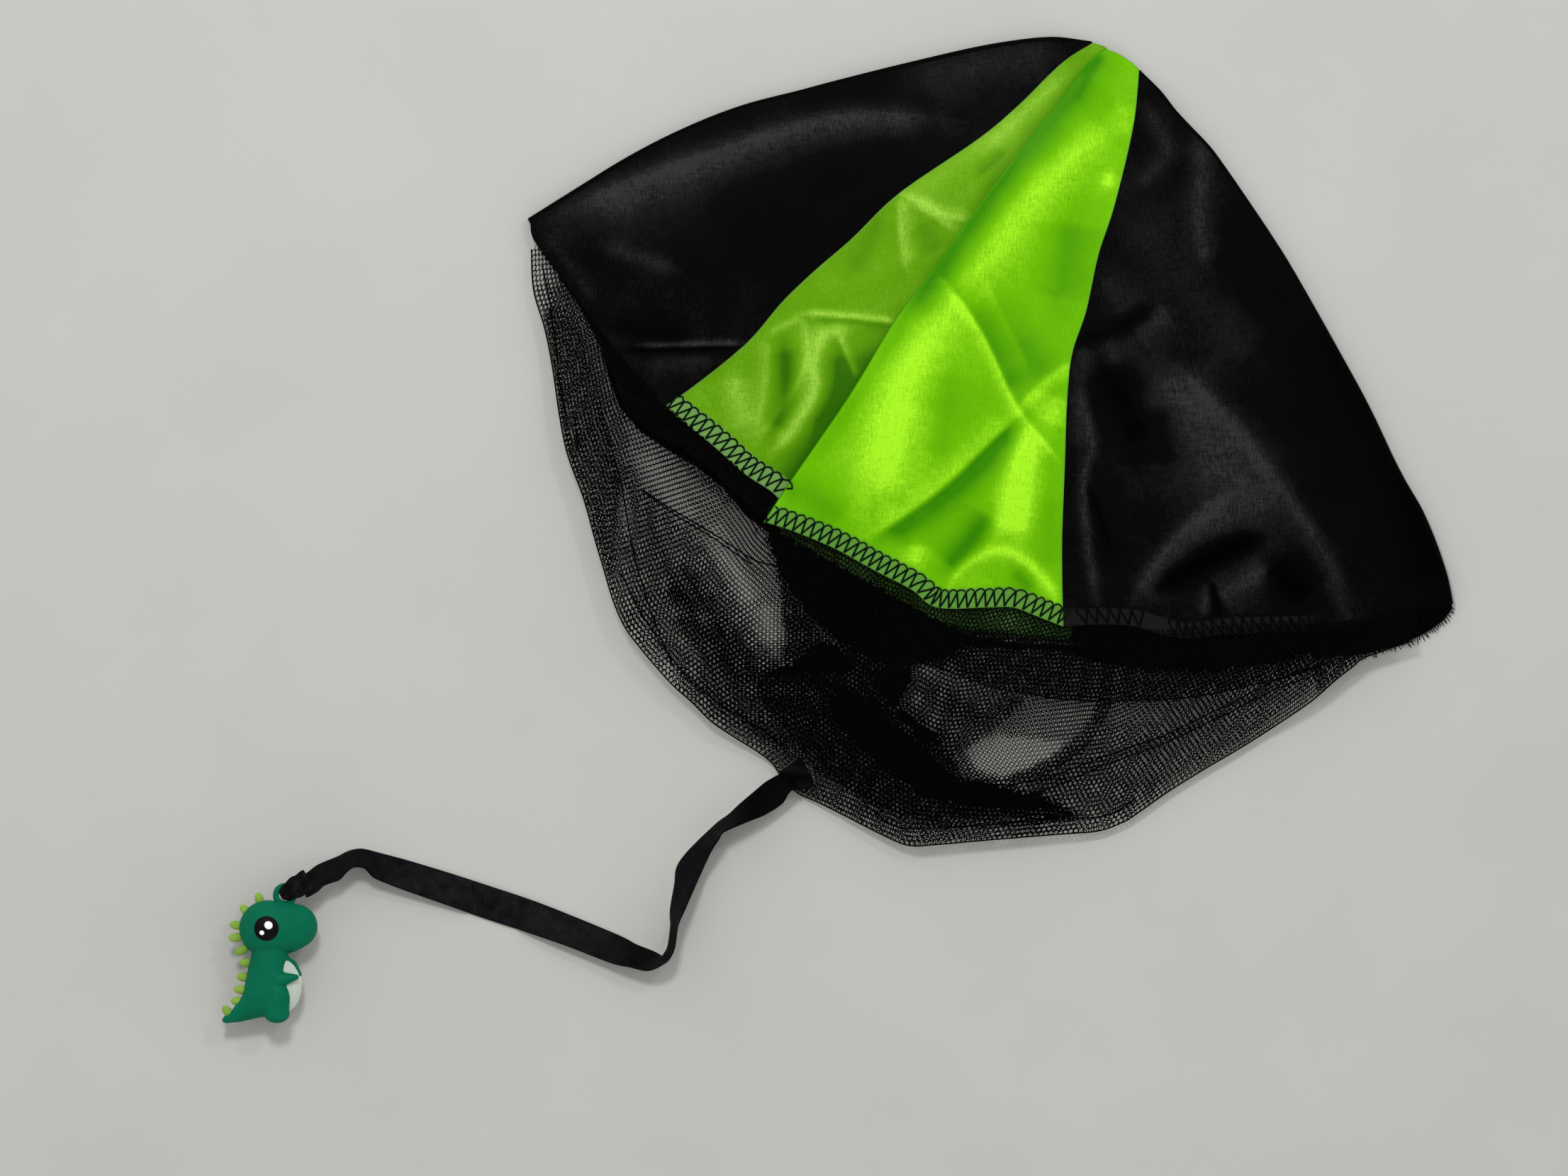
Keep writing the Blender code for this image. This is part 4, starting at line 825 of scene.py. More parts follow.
def overlockStrands(tree, hem, inward, start=0.0, end=1.0, sway=0.0):
    # looped stitches over a hem: a scalloped line inside, and threads that go to the edge and back
    pitch, band = overlock["pitch"] * pixel, overlock["band"] * pixel
    count = max(int(hem.length * (end - start) / pitch), 2)
    shares = start + (end - start) * np.arange(count + 1) / count
    rng = np.random.default_rng(7 + count)
    step = (end - start) / count

    def place(share, depth):
        spot = hem.at(share) + hem.side(share) * inward * depth
        return np.array([spot[0], spot[1], topOf(tree, spot[0], spot[1], 0.004) + overlock["radius"] * 0.7])

    inner = [share + sway * step for share in shares]
    scallops, rungs = [], []
    for k in range(count):
        wobble = 1 + 0.08 * rng.standard_normal()
        for t in evenly(6)[:-1]:
            depth = band * (1 + 0.02 * rng.standard_normal()) + overlock["scallop"] * pixel * math.sin(math.pi * t)
            scallops.append(place(inner[k] + t * step, depth))
        edge = overlock["edgeIn"] * pixel
        down = [place(inner[k] + (shares[k] + 0.25 * step - inner[k]) * t, band + (edge - band) * t)
                for t in evenly(5)]
        back = [place(shares[k] + 0.25 * step + (inner[k] + step - shares[k] - 0.25 * step) * t * wobble ** 0.5,
                      edge + (band - edge) * t) for t in evenly(5)]
        rungs.append(down)
        rungs.append(back)
    scallops.append(place(inner[-1], band))
    return [scallops] + rungs


threadFinish = plainFinish("overlockThread", (0.0005, 0.0045, 0.0025), (0.0012, 0.010, 0.0055), 0.6, 700,
                           specularIorLevel=0.05)
blackThread = plainFinish("blackThread", (0.0003, 0.0003, 0.0003), (0.0010, 0.0010, 0.0010), 0.6, 700,
                          specularIorLevel=0.05)
greenTree, leftTree, rightTree = (surfaceOf(made["piece"]) for made in (greenFront, leftBlack, rightBlack))
limeStitches = overlockStrands(greenTree, greenFront["leftHem"], 1, 0.01, 0.84, 0.2)
limeStitches += overlockStrands(greenTree, greenFront["rightHem"], 1, 0.0, 1.0, 0.2)
threadPiece("overlockLime", limeStitches, overlock["radius"], threadFinish)
blackStitches = overlockStrands(leftTree, leftBlack["hem"], 1, 0.03, 0.60, 0.2)
blackStitches += overlockStrands(rightTree, rightBlack["hem"], -1, 0.36, 0.73, 0.2)
blackStitches += overlockStrands(rightTree, rightBlack["hem"], -1, 0.80, 0.96, 0.2)
threadPiece("overlockBlack", blackStitches, overlock["radius"], blackThread)
print("stitches made")

# ---- tulle skirt: real six-sided mesh in several layers, each a strip laid between its edge and the hem
net = {"pitch": 0.0017, "thread": 0.000175, "flat": 0.0003, "loft": 0.0035, "fold": 0.0026, "height": 0.088,
       "steps": 6, "widest": 0.90, "heaviest": 4.5, "closed": 2.6, "pinch": 0.0016, "tucked": 0.0010}
netOutline = traced([
    (750, 352), (753, 409), (769, 464), (780, 520), (790, 588), (801, 641), (824, 704), (840, 762), (851, 799),
    (865, 846), (881, 883), (902, 912), (928, 943), (951, 968), (977, 991), (1003, 1017), (1035, 1039), (1067, 1059),
    (1090, 1077), (1104, 1098), (1126, 1119), (1150, 1130), (1183, 1146), (1220, 1165), (1250, 1180), (1273, 1190),
    (1291, 1193), (1321, 1191), (1400, 1184), (1500, 1176), (1549, 1172), (1583, 1160), (1600, 1150), (1650, 1115),
    (1700, 1084), (1751, 1054), (1801, 1022), (1849, 989), (1882, 960), (1909, 939), (1925, 927), (1990, 904)])
netSeam = traced([
    (762, 342), (793, 378), (848, 454), (909, 523), (945, 564), (1003, 614), (1052, 658), (1080, 690), (1084, 722),
    (1092, 730), (1122, 741), (1183, 766), (1236, 795), (1290, 823), (1325, 847), (1393, 848), (1431, 848),
    (1467, 860), (1502, 874), (1590, 867), (1656, 875), (1727, 869), (1864, 870), (1990, 872)])
# how high the skirt's lower edge stands, at picture pixels along it
edgeHeights = [((752, 366), 0.0035), ((796, 619), 0.0075), ((888, 899), 0.0090), ((1010, 1015), 0.0070),
               ((1090, 1075), 0.0022), ((1130, 1120), 0.0016), ((1200, 1155), 0.0040), ((1300, 1190), 0.0065),
               ((1431, 1182), 0.0060), ((1581, 1163), 0.0040), ((1784, 1037), 0.0040), ((1870, 975), 0.0080),
               ((1990, 905), 0.0100)]
# soft folds over the skirt: where they start at the hem and end at the edge, as shares along, and how high
netFolds = [
    (0.10, 0.12, 0.5), (0.20, 0.28, 0.8), (0.30, 0.40, 0.6), (0.42, 0.47, 0.9), (0.55, 0.52, 0.7), (0.66, 0.60, 1.0),
    (0.78, 0.72, 0.6), (0.88, 0.84, 0.8)]
outlineShares = evenly(400)
edgeMarks = [outlineShares[np.argmin(np.hypot(*(netOutline.at(outlineShares) - onTable(spot)).T))]
             for spot, high in edgeHeights]
sewnShares = evenly(161)
sewnHeights = [max(topOf(greenTree, x, y), topOf(leftTree, x, y), topOf(rightTree, x, y), 0.0036) - net["tucked"]
               for x, y in netSeam.at(sewnShares)]


def skirtPlace(shares, ups):
    # places and heights of the skirt's back and front: shares along the edge, ups in metres from it to the hem
    edge, hem = netOutline.at(shares), netSeam.at(shares)
    depth = np.linalg.norm(hem - edge, axis=-1)
    k = np.clip(ups / depth, 0, 1)
    spots = edge + (hem - edge) * k[..., None]
    low = np.interp(shares, edgeMarks, [high for spot, high in edgeHeights])
    back = net["flat"] + (low - net["flat"]) * (1 - smoothStep(k * depth / 0.020))
    front = low + (np.minimum(np.interp(shares, sewnShares, sewnHeights), 0.0065) - low) * k
    waves = sum(net["fold"] * share * np.exp(-((shares - end - (start - end) * k) / 0.03) ** 2)
                for start, end, share in netFolds)
    front += (net["loft"] + waves) * np.sin(np.pi * k) * smoothStep(np.minimum(shares, 1 - shares) * 8)
    near = np.hypot(*np.moveaxis(spots - onTable(ribbonEnds["tabPixels"]), -1, 0))
    front = net["pinch"] + (front - net["pinch"]) * smoothStep((near - 0.007) / 0.020)
    return spots, back, np.maximum(front, back + 0.0002), depth


netFinish = plainFinish("blackTulle", (0.0006, 0.0007, 0.0006), (0.0018, 0.0019, 0.0018), 0.6, 500,
                        specularIorLevel=0.008)

# strokes that make the mesh looser (below 0) or denser (above 0): the line, its reach to each side, the change
lighter = [
    ([(1000, 745), (1035, 800), (1060, 850)], 14, 14, -0.35), ([(882, 690), (884, 760)], 9, 9, -0.35),
    ([(1080, 855), (1090, 905)], 16, 16, -0.35),
    ([(905, 635), (945, 690), (975, 735)], 14, 16, -0.20),
    ([(757, 360), (765, 400)], 12, 12, -0.30)]
openings = [
    ([(868, 700), (885, 735)], 10, 10, -0.7), ([(895, 720), (915, 800), (950, 870)], 7, 7, -0.5),
    ([(930, 740), (970, 830), (1010, 900)], 7, 7, -0.4),
    ([(880, 780), (905, 860)], 14, 14, -0.35),
    ([(1560, 1012), (1600, 1006), (1640, 1003)], 12, 12, -0.5),
    ([(1300, 940), (1340, 965), (1400, 990)], 11, 11, -0.5),
    ([(1290, 980), (1340, 1030)], 20, 20, -0.3)]
darker = [
    ([(905, 700), (940, 790), (985, 880), (1040, 950)], 5, 9, 0.9),
    ([(880, 650), (900, 740), (930, 830), (975, 910)], 5, 8, 0.8),
    ([(862, 600), (872, 700), (890, 800), (925, 880)], 5, 8, 0.7),
    ([(1270, 985), (1330, 1040), (1360, 1070)], 6, 8, 0.8), ([(1310, 960), (1380, 1010)], 6, 8, 0.7),
    ([(985, 745), (1040, 785), (1080, 812)], 2, 3, 0.6),
    ([(1140, 790), (1200, 820), (1260, 850), (1330, 885)], 10, 12, 1.2),
    ([(1010, 880), (1050, 940), (1100, 950)], 14, 14, 0.4),
    ([(960, 960), (1010, 1000), (1060, 1030), (1120, 1060)], 14, 12, 0.7),
    ([(1280, 960), (1340, 1000), (1400, 1010), (1440, 985)], 12, 12, 0.6),
    ([(1620, 1140), (1700, 1080), (1800, 1015)], 20, 40, 0.35),
    ([(1250, 1155), (1330, 1162), (1450, 1160), (1530, 1150)], 4, 4, 1.2)]
# places where the gathered net lies folded, or where it's single, and shaded ones where closed net is painted shade
# under the hem: outlines in picture pixels
bright = [
    (885, 588), (898, 588), (940, 632), (972, 668), (1014, 700), (1056, 732), (1084, 755), (1098, 790), (1104, 857),
    (1108, 905), (1098, 925), (1077, 914), (1061, 888), (1035, 836), (1003, 783), (972, 746), (945, 722), (914, 693),
    (890, 650)]
window = [
    (1450, 984), (1500, 988), (1545, 990), (1535, 1015), (1510, 1045), (1490, 1062), (1462, 1078), (1420, 1096),
    (1385, 1090), (1358, 1062), (1385, 1043), (1410, 1025), (1430, 1005)]
windowEnd = [
    (1360, 1058), (1385, 1043), (1410, 1036), (1450, 1041), (1500, 1046), (1488, 1062), (1460, 1078), (1415, 1096),
    (1380, 1088)]
singleTop = [(748, 345), (762, 345), (775, 360), (790, 385), (788, 402), (776, 402), (768, 445), (758, 450)]
singleLeft = [
    (850, 797), (874, 806), (890, 835), (912, 876), (936, 912), (962, 946), (990, 974), (1032, 1003), (1076, 1030),
    (1104, 1052), (1110, 1090), (1088, 1100), (1030, 1060), (940, 980), (880, 910)]
singleTab = [
    (1128, 1062), (1146, 1081), (1172, 1096), (1202, 1115), (1222, 1135), (1250, 1159), (1250, 1190), (1180, 1160),
    (1130, 1125)]
singleBottom = [
    (1246, 1159), (1269, 1167), (1299, 1169), (1351, 1166), (1400, 1163), (1448, 1159), (1500, 1155), (1560, 1150),
    (1600, 1128), (1620, 1160), (1560, 1185), (1300, 1205), (1240, 1190)]
singleRight = [
    (1600, 1128), (1650, 1100), (1700, 1069), (1750, 1040), (1800, 1008), (1850, 972), (1890, 945), (1930, 930),
    (1860, 1000), (1700, 1100), (1600, 1160)]
outerLeft = [
    (745, 450), (775, 436), (800, 432), (822, 475), (842, 530), (855, 580), (866, 640), (874, 690), (868, 760),
    (868, 815), (845, 815), (828, 762), (812, 704), (788, 640), (778, 588), (760, 519)]
darkWay = [
    (960, 790), (1003, 830), (1035, 880), (1061, 920), (1100, 935), (1150, 947), (1082, 956), (1067, 972),
    (1082, 999), (1040, 985), (1000, 950), (960, 880), (940, 830)]
besideBright = [
    (1062, 742), (1090, 785), (1104, 857), (1110, 905), (1100, 930), (1150, 950), (1210, 945), (1150, 880),
    (1120, 830), (1100, 780)]
besideWindow = [
    (1225, 945), (1290, 940), (1350, 962), (1448, 985), (1400, 1030), (1352, 1062), (1300, 1044), (1262, 1005)]
aboveLine = [
    (1290, 925), (1306, 935), (1351, 952), (1400, 969), (1448, 978), (1500, 986), (1549, 988), (1600, 987),
    (1650, 986), (1700, 980), (1760, 967), (1830, 950), (1880, 932), (1860, 895), (1500, 900), (1330, 880)]
leftBend = [
    (1549, 986), (1566, 988), (1553, 1020), (1532, 1050), (1500, 1076), (1470, 1095), (1430, 1106), (1398, 1106),
    (1433, 1092), (1470, 1077), (1500, 1058), (1523, 1036), (1541, 1014)]
rightBend = [
    (1860, 938), (1801, 958), (1751, 984), (1712, 1003), (1673, 1022), (1635, 1040), (1600, 1051), (1557, 1067),
    (1519, 1081), (1488, 1094), (1450, 1104), (1452, 1122), (1500, 1104), (1557, 1079), (1635, 1051), (1712, 1015),
    (1751, 996), (1801, 971), (1860, 950)]
folded = [
    (1082, 954), (1110, 938), (1150, 947), (1183, 969), (1217, 982), (1258, 995), (1286, 1013), (1318, 1036),
    (1343, 1064), (1355, 1094), (1396, 1100), (1433, 1111), (1471, 1122), (1500, 1137), (1523, 1148), (1493, 1154),
    (1396, 1154), (1299, 1155), (1254, 1147), (1217, 1126), (1172, 1096), (1150, 1074), (1112, 1036), (1082, 999),
    (1067, 972)]
foldedCore = [
    (1165, 975), (1217, 990), (1247, 1006), (1269, 1027), (1299, 1050), (1330, 1078), (1345, 1100), (1396, 1106),
    (1433, 1117), (1470, 1128), (1488, 1142), (1396, 1140), (1310, 1126), (1262, 1095), (1215, 1055), (1180, 1015)]
shaded = [
    (1078, 738), (1150, 782), (1230, 825), (1290, 860), (1345, 886), (1352, 905), (1345, 922), (1300, 936),
    (1250, 936), (1200, 914), (1160, 884), (1126, 845), (1100, 800)]
shadedRight = [
    (1545, 898), (1640, 905), (1800, 905), (1880, 890), (1860, 915), (1800, 934), (1700, 946), (1600, 941),
    (1566, 930)]
betweenDark = [(1120, 935), (1150, 910), (1200, 905), (1290, 925), (1285, 955), (1268, 995), (1222, 1000), (1165, 968)]
lowerBand = [
    (1200, 1122), (1300, 1150), (1390, 1118), (1560, 1118), (1640, 1088), (1625, 1125), (1560, 1153), (1500, 1158),
    (1400, 1165), (1300, 1170), (1250, 1160)]
lowerWay = [
    (905, 870), (950, 900), (990, 950), (1040, 985), (1085, 1002), (1115, 1038), (1150, 1074), (1172, 1096),
    (1140, 1078), (1100, 1060), (1070, 1038), (1030, 1010), (985, 978), (950, 944), (925, 908)]
rightTip = [(1850, 940), (1930, 912), (1995, 900), (1930, 950), (1860, 990)]
windowTop = [(1450, 978), (1500, 985), (1550, 988), (1530, 1030), (1505, 1045), (1450, 1040), (1410, 1034),
             (1420, 1005)]
# the gather layers close their cells over the shaded outlines: dense net as painted shade under the hem
netLayers = {
    "netUnder": {"turn": 1.05, "base": 1.0, "strokes": lighter, "areas": [(windowEnd, -0.35)], "lift": 0.0,
                 "replaced": ["net_back"]},
    "netUpper": {"turn": 0.0, "base": 1.0, "strokes": lighter, "areas": [(windowEnd, -0.35)], "lift": 1.0,
                 "replaced": ["net_front"]},
    "netTuck": {"turn": 11.0, "base": 1.05, "strokes": openings, "lift": 0.75, "replaced": [], "areas": [
        (window, -9), (singleTop, -9), (singleLeft, -0.20), (bright, -9), (singleRight, -0.6)]},
    "netGather": {"turn": -9.0, "base": 0.0, "strokes": darker, "lift": 0.55, "replaced": [], "areas": [
        (bright, 0.1), (outerLeft, 1.0), (darkWay, 1.2), (aboveLine, 1.7), (besideBright, 1.6),
        (besideWindow, 0.7), (leftBend, 1.3), (rightBend, 0.9), (betweenDark, 2.2), (lowerBand, 0.5),
        (singleTab, 0.4), (windowTop, 0.4), (lowerWay, 0.9), (rightTip, 1.3), (folded, 1.9), (shaded, 3.5),
        (shadedRight, 3.0), (singleTop, -9)]},
    "netGatherUnder": {"turn": 23.0, "base": 0.0, "strokes": [], "lift": 0.35, "replaced": [], "areas": [
        (folded, 0.7), (foldedCore, 2.4), (shaded, 3.0), (shadedRight, 3.0)]}}
turnCentre = (0.40, 0.050)  # the layers' cells lie over each other here


def insideOf(spots, outline):
    # which places lie inside a closed outline given in picture pixels
    corners = onTable(outline)
    x, y = spots[..., 0], spots[..., 1]
    odd = np.zeros(x.shape, bool)
    for (ax, ay), (bx, by) in zip(corners, np.roll(corners, -1, 0)):
        if ay != by:
            odd ^= ((ay > y) != (by > y)) & (x < ax + (bx - ax) * (y - ay) / (by - ay))
    return odd


def makeNetLayer(name, layer):
    pitch, length = net["pitch"], netOutline.length
    radius = pitch / math.sqrt(3)
    reach = math.sin(math.radians(abs(layer["turn"]))) * length
    rows, columns = int((net["height"] + reach) / (1.5 * radius)) + 2, 2 * (int(length / pitch) + 4)
    # bricks laid in rows, pulled to hexagons by a zigzag, and every other upright left out
    bm = bmesh.new()
    bmesh.ops.create_grid(bm, x_segments=columns, y_segments=rows, size=0.5)
    j, i = np.meshgrid(np.arange(rows + 1), np.arange(columns + 1), indexing="ij")
    zigzag = np.where((i + j) % 2, -1, 1) * radius / 4
    flat = np.stack([(i - 4) * pitch / 2, (j - 1) * 1.5 * radius - reach / 2 + zigzag], -1)
    turn = math.radians(layer["turn"])
    centre = np.array([turnCentre[0] * length, turnCentre[1]])
    flat = (flat - centre) @ np.array([[math.cos(turn), math.sin(turn)], [-math.sin(turn), math.cos(turn)]]) + centre
    for vertex, (x, y) in zip(bm.verts, flat.reshape(-1, 2)):
        vertex.co = (x, y, 0)
    across = columns + 1
    spare = []
    for edge in bm.edges:
        a, b = sorted(vertex.index for vertex in edge.verts)
        if b - a == across and (a % across + a // across) % 2:
            spare.append(edge)
    bmesh.ops.dissolve_edges(bm, edges=spare)
    cells = list(bm.faces)
    middles = np.array([cell.calc_center_median()[:2] for cell in cells])
    shares = middles[:, 0] / length
    spots, back, front, depth = skirtPlace(np.clip(shares, 0, 1), middles[:, 1])
    kept = (shares > 0) & (shares < 1) & (middles[:, 1] > 0) & (middles[:, 1] < depth)
    kept &= np.array([len(cell.verts) for cell in cells]) == 6
    weight = np.full(len(cells), layer["base"])
    if layer["strokes"]:
        # marks stop at 1, so the shades go in as quarters
        quarters = [(line, left, right, 0, shade / 4) for line, left, right, shade in layer["strokes"]]
        weight[kept] += strokeMarks(spots[kept], quarters, 0.05)[1] * 4
    for outline, amount in layer["areas"]:
        weight += amount * insideOf(spots, outline)
    classes = np.round(np.clip(weight, 0, net["heaviest"]) * net["steps"]).astype(int)
    classes[~kept] = 0
    bmesh.ops.delete(bm, geom=[cell for cell, own in zip(cells, classes) if own == 0], context="FACES")
    cells, classes = [cell for cell, own in zip(cells, classes) if own], classes[classes > 0]
    for step in sorted(set(classes)):
        bmesh.ops.inset_individual(bm, faces=[face for face, own in zip(cells, classes) if own == step],
                                   thickness=min(net["thread"] * step / net["steps"], net["widest"] * pitch / 2),
                                   use_even_offset=True)
    bmesh.ops.delete(bm, geom=[cell for cell, own in zip(cells, classes) if own < net["closed"] * net["steps"]],
                     context="FACES")
    places = np.array([vertex.co[:2] for vertex in bm.verts])
    spots, back, front, depth = skirtPlace(np.clip(places[:, 0] / length, 0, 1), places[:, 1])
    high = back + (front - back) * layer["lift"]
    for vertex, (x, y), z in zip(bm.verts, spots, high):
        vertex.co = (x, y, z)
    bmesh.ops.dissolve_degenerate(bm, dist=1e-6, edges=bm.edges)
    if sum(face.normal.z for face in bm.faces if not face.normal_update()) < 0:
        bmesh.ops.reverse_faces(bm, faces=bm.faces)
    area = sum(face.calc_area() for face in bm.faces)
    print(name, sum(len(face.verts) - 2 for face in bm.faces), "triangles, thread area", round(area, 5))
    piece = finishPiece(name, bm, [netFinish], "parachute", layer["replaced"])


for name, layer in netLayers.items():
    makeNetLayer(name, layer)

# the skirt's front as a grid of places, for threads that lie on it
gridShares, gridUps = np.meshgrid(evenly(301), evenly(41), indexing="ij")
gridUps = gridUps * np.linalg.norm(netSeam.at(gridShares) - netOutline.at(gridShares), axis=-1)
gridSpots, _, gridFront, _ = skirtPlace(gridShares, gridUps)
gridTree = KDTree(gridSpots.size // 2)
for index, (x, y) in enumerate(gridSpots.reshape(-1, 2)):
    gridTree.insert((x, y, 0), index)
gridTree.balance()


def onNet(points, lift=0.0002):
    line = traced(points)
    spots = line.at(evenly(max(int(line.length / 0.0015), 8)))
    high = np.array([gridFront.ravel()[gridTree.find((x, y, 0))[1]] for x, y in spots])
    high = np.convolve(np.pad(high, 3, mode="edge"), np.ones(7) / 7, mode="valid") + lift
    return [(x, y, z) for (x, y), z in zip(spots, high)]


edgeShares = evenly(300)
edgeSpots, edgeBack = skirtPlace(edgeShares, edgeShares * 0)[:2]
foldStrands = [[(x, y, z) for (x, y), z in zip(edgeSpots, edgeBack)]] + [onNet(points) for points in (
    aboveLine[1:13], leftBend[:8], rightBend[:11], rightBend[-8:], singleBottom[:9], singleTab[1:6], singleLeft[1:10],
    [(905, 690), (950, 720), (1003, 751), (1035, 772), (1066, 791), (1098, 799)],
    [(907, 693), (955, 728), (1003, 757), (1035, 779), (1060, 796)],
    [(765, 375), (775, 420), (783, 480), (790, 540), (800, 600)], [(812, 590), (814, 620), (818, 645)],
    [(868, 650), (880, 700), (890, 760), (905, 820), (925, 880), (950, 940)], [(960, 800), (1000, 860), (1040, 930)])]
threadPiece("netFoldEdges", foldStrands, 0.00025, netFinish, sides=1)

# a black satin sheet of painted shade under the front hem, the skirt's gathers below the left hem, partly painted
# shade, and its end on the right corner
bands = {
    "hemShadeSheet": {
        "upper": [(1100, 775), (1150, 802), (1240, 850), (1300, 865), (1340, 888), (1400, 903), (1500, 910),
            (1640, 905), (1800, 905)],
        "lower": [(1095, 792), (1140, 850), (1190, 895), (1250, 930), (1300, 930), (1340, 915), (1400, 913),
            (1500, 919), (1570, 938), (1700, 940), (1800, 925)],
        "heights": (0.0012, 0.0012), "wave": 0.0005, "ripples": 24, "finish": blackSatin, "slot": "black_satin"},
    # a solid band of gathered net, also standing in for the shade below the left hem: painted shade
    "leftGatherShade": {
        "upper": [(785, 372), (839, 449), (900, 518), (940, 562), (1003, 614), (1052, 657), (1092, 692), (1102, 712)],
        "lower": [(790, 394), (822, 440), (858, 515), (884, 580), (925, 614), (985, 650), (1030, 690), (1078, 738)],
        "heights": None, "wave": 0.0004, "ripples": 44, "finish": netFinish, "slot": "black_tulle"},
    "gatheredEnd": {
        "upper": [(1850, 883), (1900, 876), (1950, 865), (2000, 851), (2044, 838)],
        "lower": [(1850, 928), (1926, 922), (1990, 903), (2030, 880), (2049, 858)],
        "heights": (0.0046, 0.0014), "wave": 0.0006, "ripples": 30, "finish": netFinish, "slot": "black_tulle"}}


def makeBand(name, band):
    upper, lower = traced(band["upper"]), traced(band["lower"])
    vs, us = evenly(8 * band["ripples"] + 1), evenly(13)[:, None]
    flat = upper.at(vs)[None] * (1 - us[..., None]) + lower.at(vs)[None] * us[..., None]
    top, bottom = band["heights"] or (np.interp(vs, evenly(len(strand)), [z for x, y, z in strand])
                                      for strand in (onNet(band["upper"], 0.0003), onNet(band["lower"], 0.0003)))
    ripple = np.sin(vs * math.tau * band["ripples"] + 2.5 * us) * (0.6 + 0.4 * np.sin(vs * 31 + us * 4))
    high = top + (bottom - top) * smoothStep(us)
    high = high + band["wave"] * (0.3 + ripple * np.sin(np.pi * np.clip(us, 0.1, 0.9)))
    # on a satin band this is full painted shade
    bm = clothMesh(raised(flat, high), {"tone": high * 0 - 1, "pale": high * 0})
    piece = finishPiece(name, bm, [band["finish"]], "parachute", [], 0.0003)
    width = float(np.linalg.norm(upper.at(vs) - lower.at(vs), axis=1).mean())
    return lower


makeBand("leftGatherShade", bands["leftGatherShade"])
makeBand("hemShadeSheet", bands["hemShadeSheet"])
cornerEdge = makeBand("gatheredEnd", bands["gatheredEnd"])
fringe = np.random.default_rng(3)
fringeStrands = []
for share in np.linspace(0.05, 1, 58):
    start, out = cornerEdge.at(share), -cornerEdge.side(share)
    lean = fringe.uniform(-0.6, 0.6)
    long = fringe.uniform(3, 10) * pixel
    way = out + lean * np.array([-out[1], out[0]])
    fringeStrands.append([(*(start - way * 2 * pixel), 0.0016), (*(start + way * long * 0.6), 0.0013),
                          (*(start + way * long), 0.0009)])
threadPiece("frayedEnd", fringeStrands, 0.00016, blackThread)
print("skirt made")

# ---- charm: a soft moulded dinosaur
charm = {
    "height": 0.0405, "pixels": 172.0, "midplane": 0.0089, "eyelet": (403, 1262), "voxel": 0.00034, "smoothing": 16,
    "head": 0.0085, "eye": (378, 1308.5), "eyeRadius": 0.0041, "eyeBulge": 0.0010, "eyeBack": 0.0008,
    "glints": [((380.5, 1304.5), 0.00150), ((372, 1314), 0.00092)], "glintBulge": 0.00035, "ringHole": 0.0020,
    "ringWire": 0.0010, "spikeHalf": (11.0, 6.4), "spikeDepth": 0.0015, "spikeStand": 0.30}
charmPixel = charm["height"] / charm["pixels"]


def chain(*masses, steps=6):
    # masses in between, so that the shape runs smoothly from one to the next
    made = [masses[0]]
    for start, end in zip(masses, masses[1:]):
        for t in np.arange(1, steps + 1) / steps:
            made.append((tuple(np.array(start[0]) + (np.array(end[0]) - start[0]) * t),
                         tuple(np.array(start[1]) + (np.array(end[1]) - start[1]) * t),
                         *(a + (b - a) * t for a, b in zip(start[2:], end[2:]))))
    return made


# the body's masses: middle in picture pixels, half sizes in pixels, half depth, offset in depth, turn in degrees
bodyMasses = [
    *chain(((379, 1309), (40.5, 40), 0.0085, 0, 0), ((403, 1308), (37, 36.5), 0.0071, 0, 0),
           ((417, 1306), (32, 31.5), 0.0066, 0, 0), steps=3),
    *chain(((405, 1350), (3, 4), 0.0030, 0, 0), ((417, 1359), (3, 4), 0.0030, 0, 0),
           ((424.5, 1374), (2.4, 4), 0.0026, 0, 0), steps=5),
    *chain(((381, 1346), (25, 22), 0.0060, 0, 0), ((379, 1376), (30, 26), 0.0065, 0, 0),
           ((377, 1403), (33, 31), 0.0068, 0, 0)),
    *chain(((367, 1412), (28, 22), 0.0055, 0, 15), ((341, 1429), (18, 11), 0.0029, 0, 22),
           ((322, 1437), (8, 5.5), 0.0016, 0, 10))]
for side in (1, -1):
    leg, arm = 0.0041 * side, 0.0050 * side
    bodyMasses += chain(((392, 1408), (18.5, 28), 0.0033, leg, 0), ((392, 1430), (17.5, 12), 0.0030, leg, 0), steps=3)
    bodyMasses += chain(((396, 1380), (13, 11), 0.0022, arm, 0), ((418, 1377), (6, 4.5), 0.0016, 0.0056 * side, 0),
                        steps=4)
bellyMass = ((401.5, 1387), (26, 40), 0.0048, 0, 0)
spikes = [((368, 1272), 105), ((351, 1286), 140), ((339, 1305), 170), ((338, 1321), 188), ((346, 1338), 205),
          ((353, 1357), 182), ((349, 1377), 180), ((345, 1395), 178), ((341, 1412), 172), ((325, 1429), 130)]


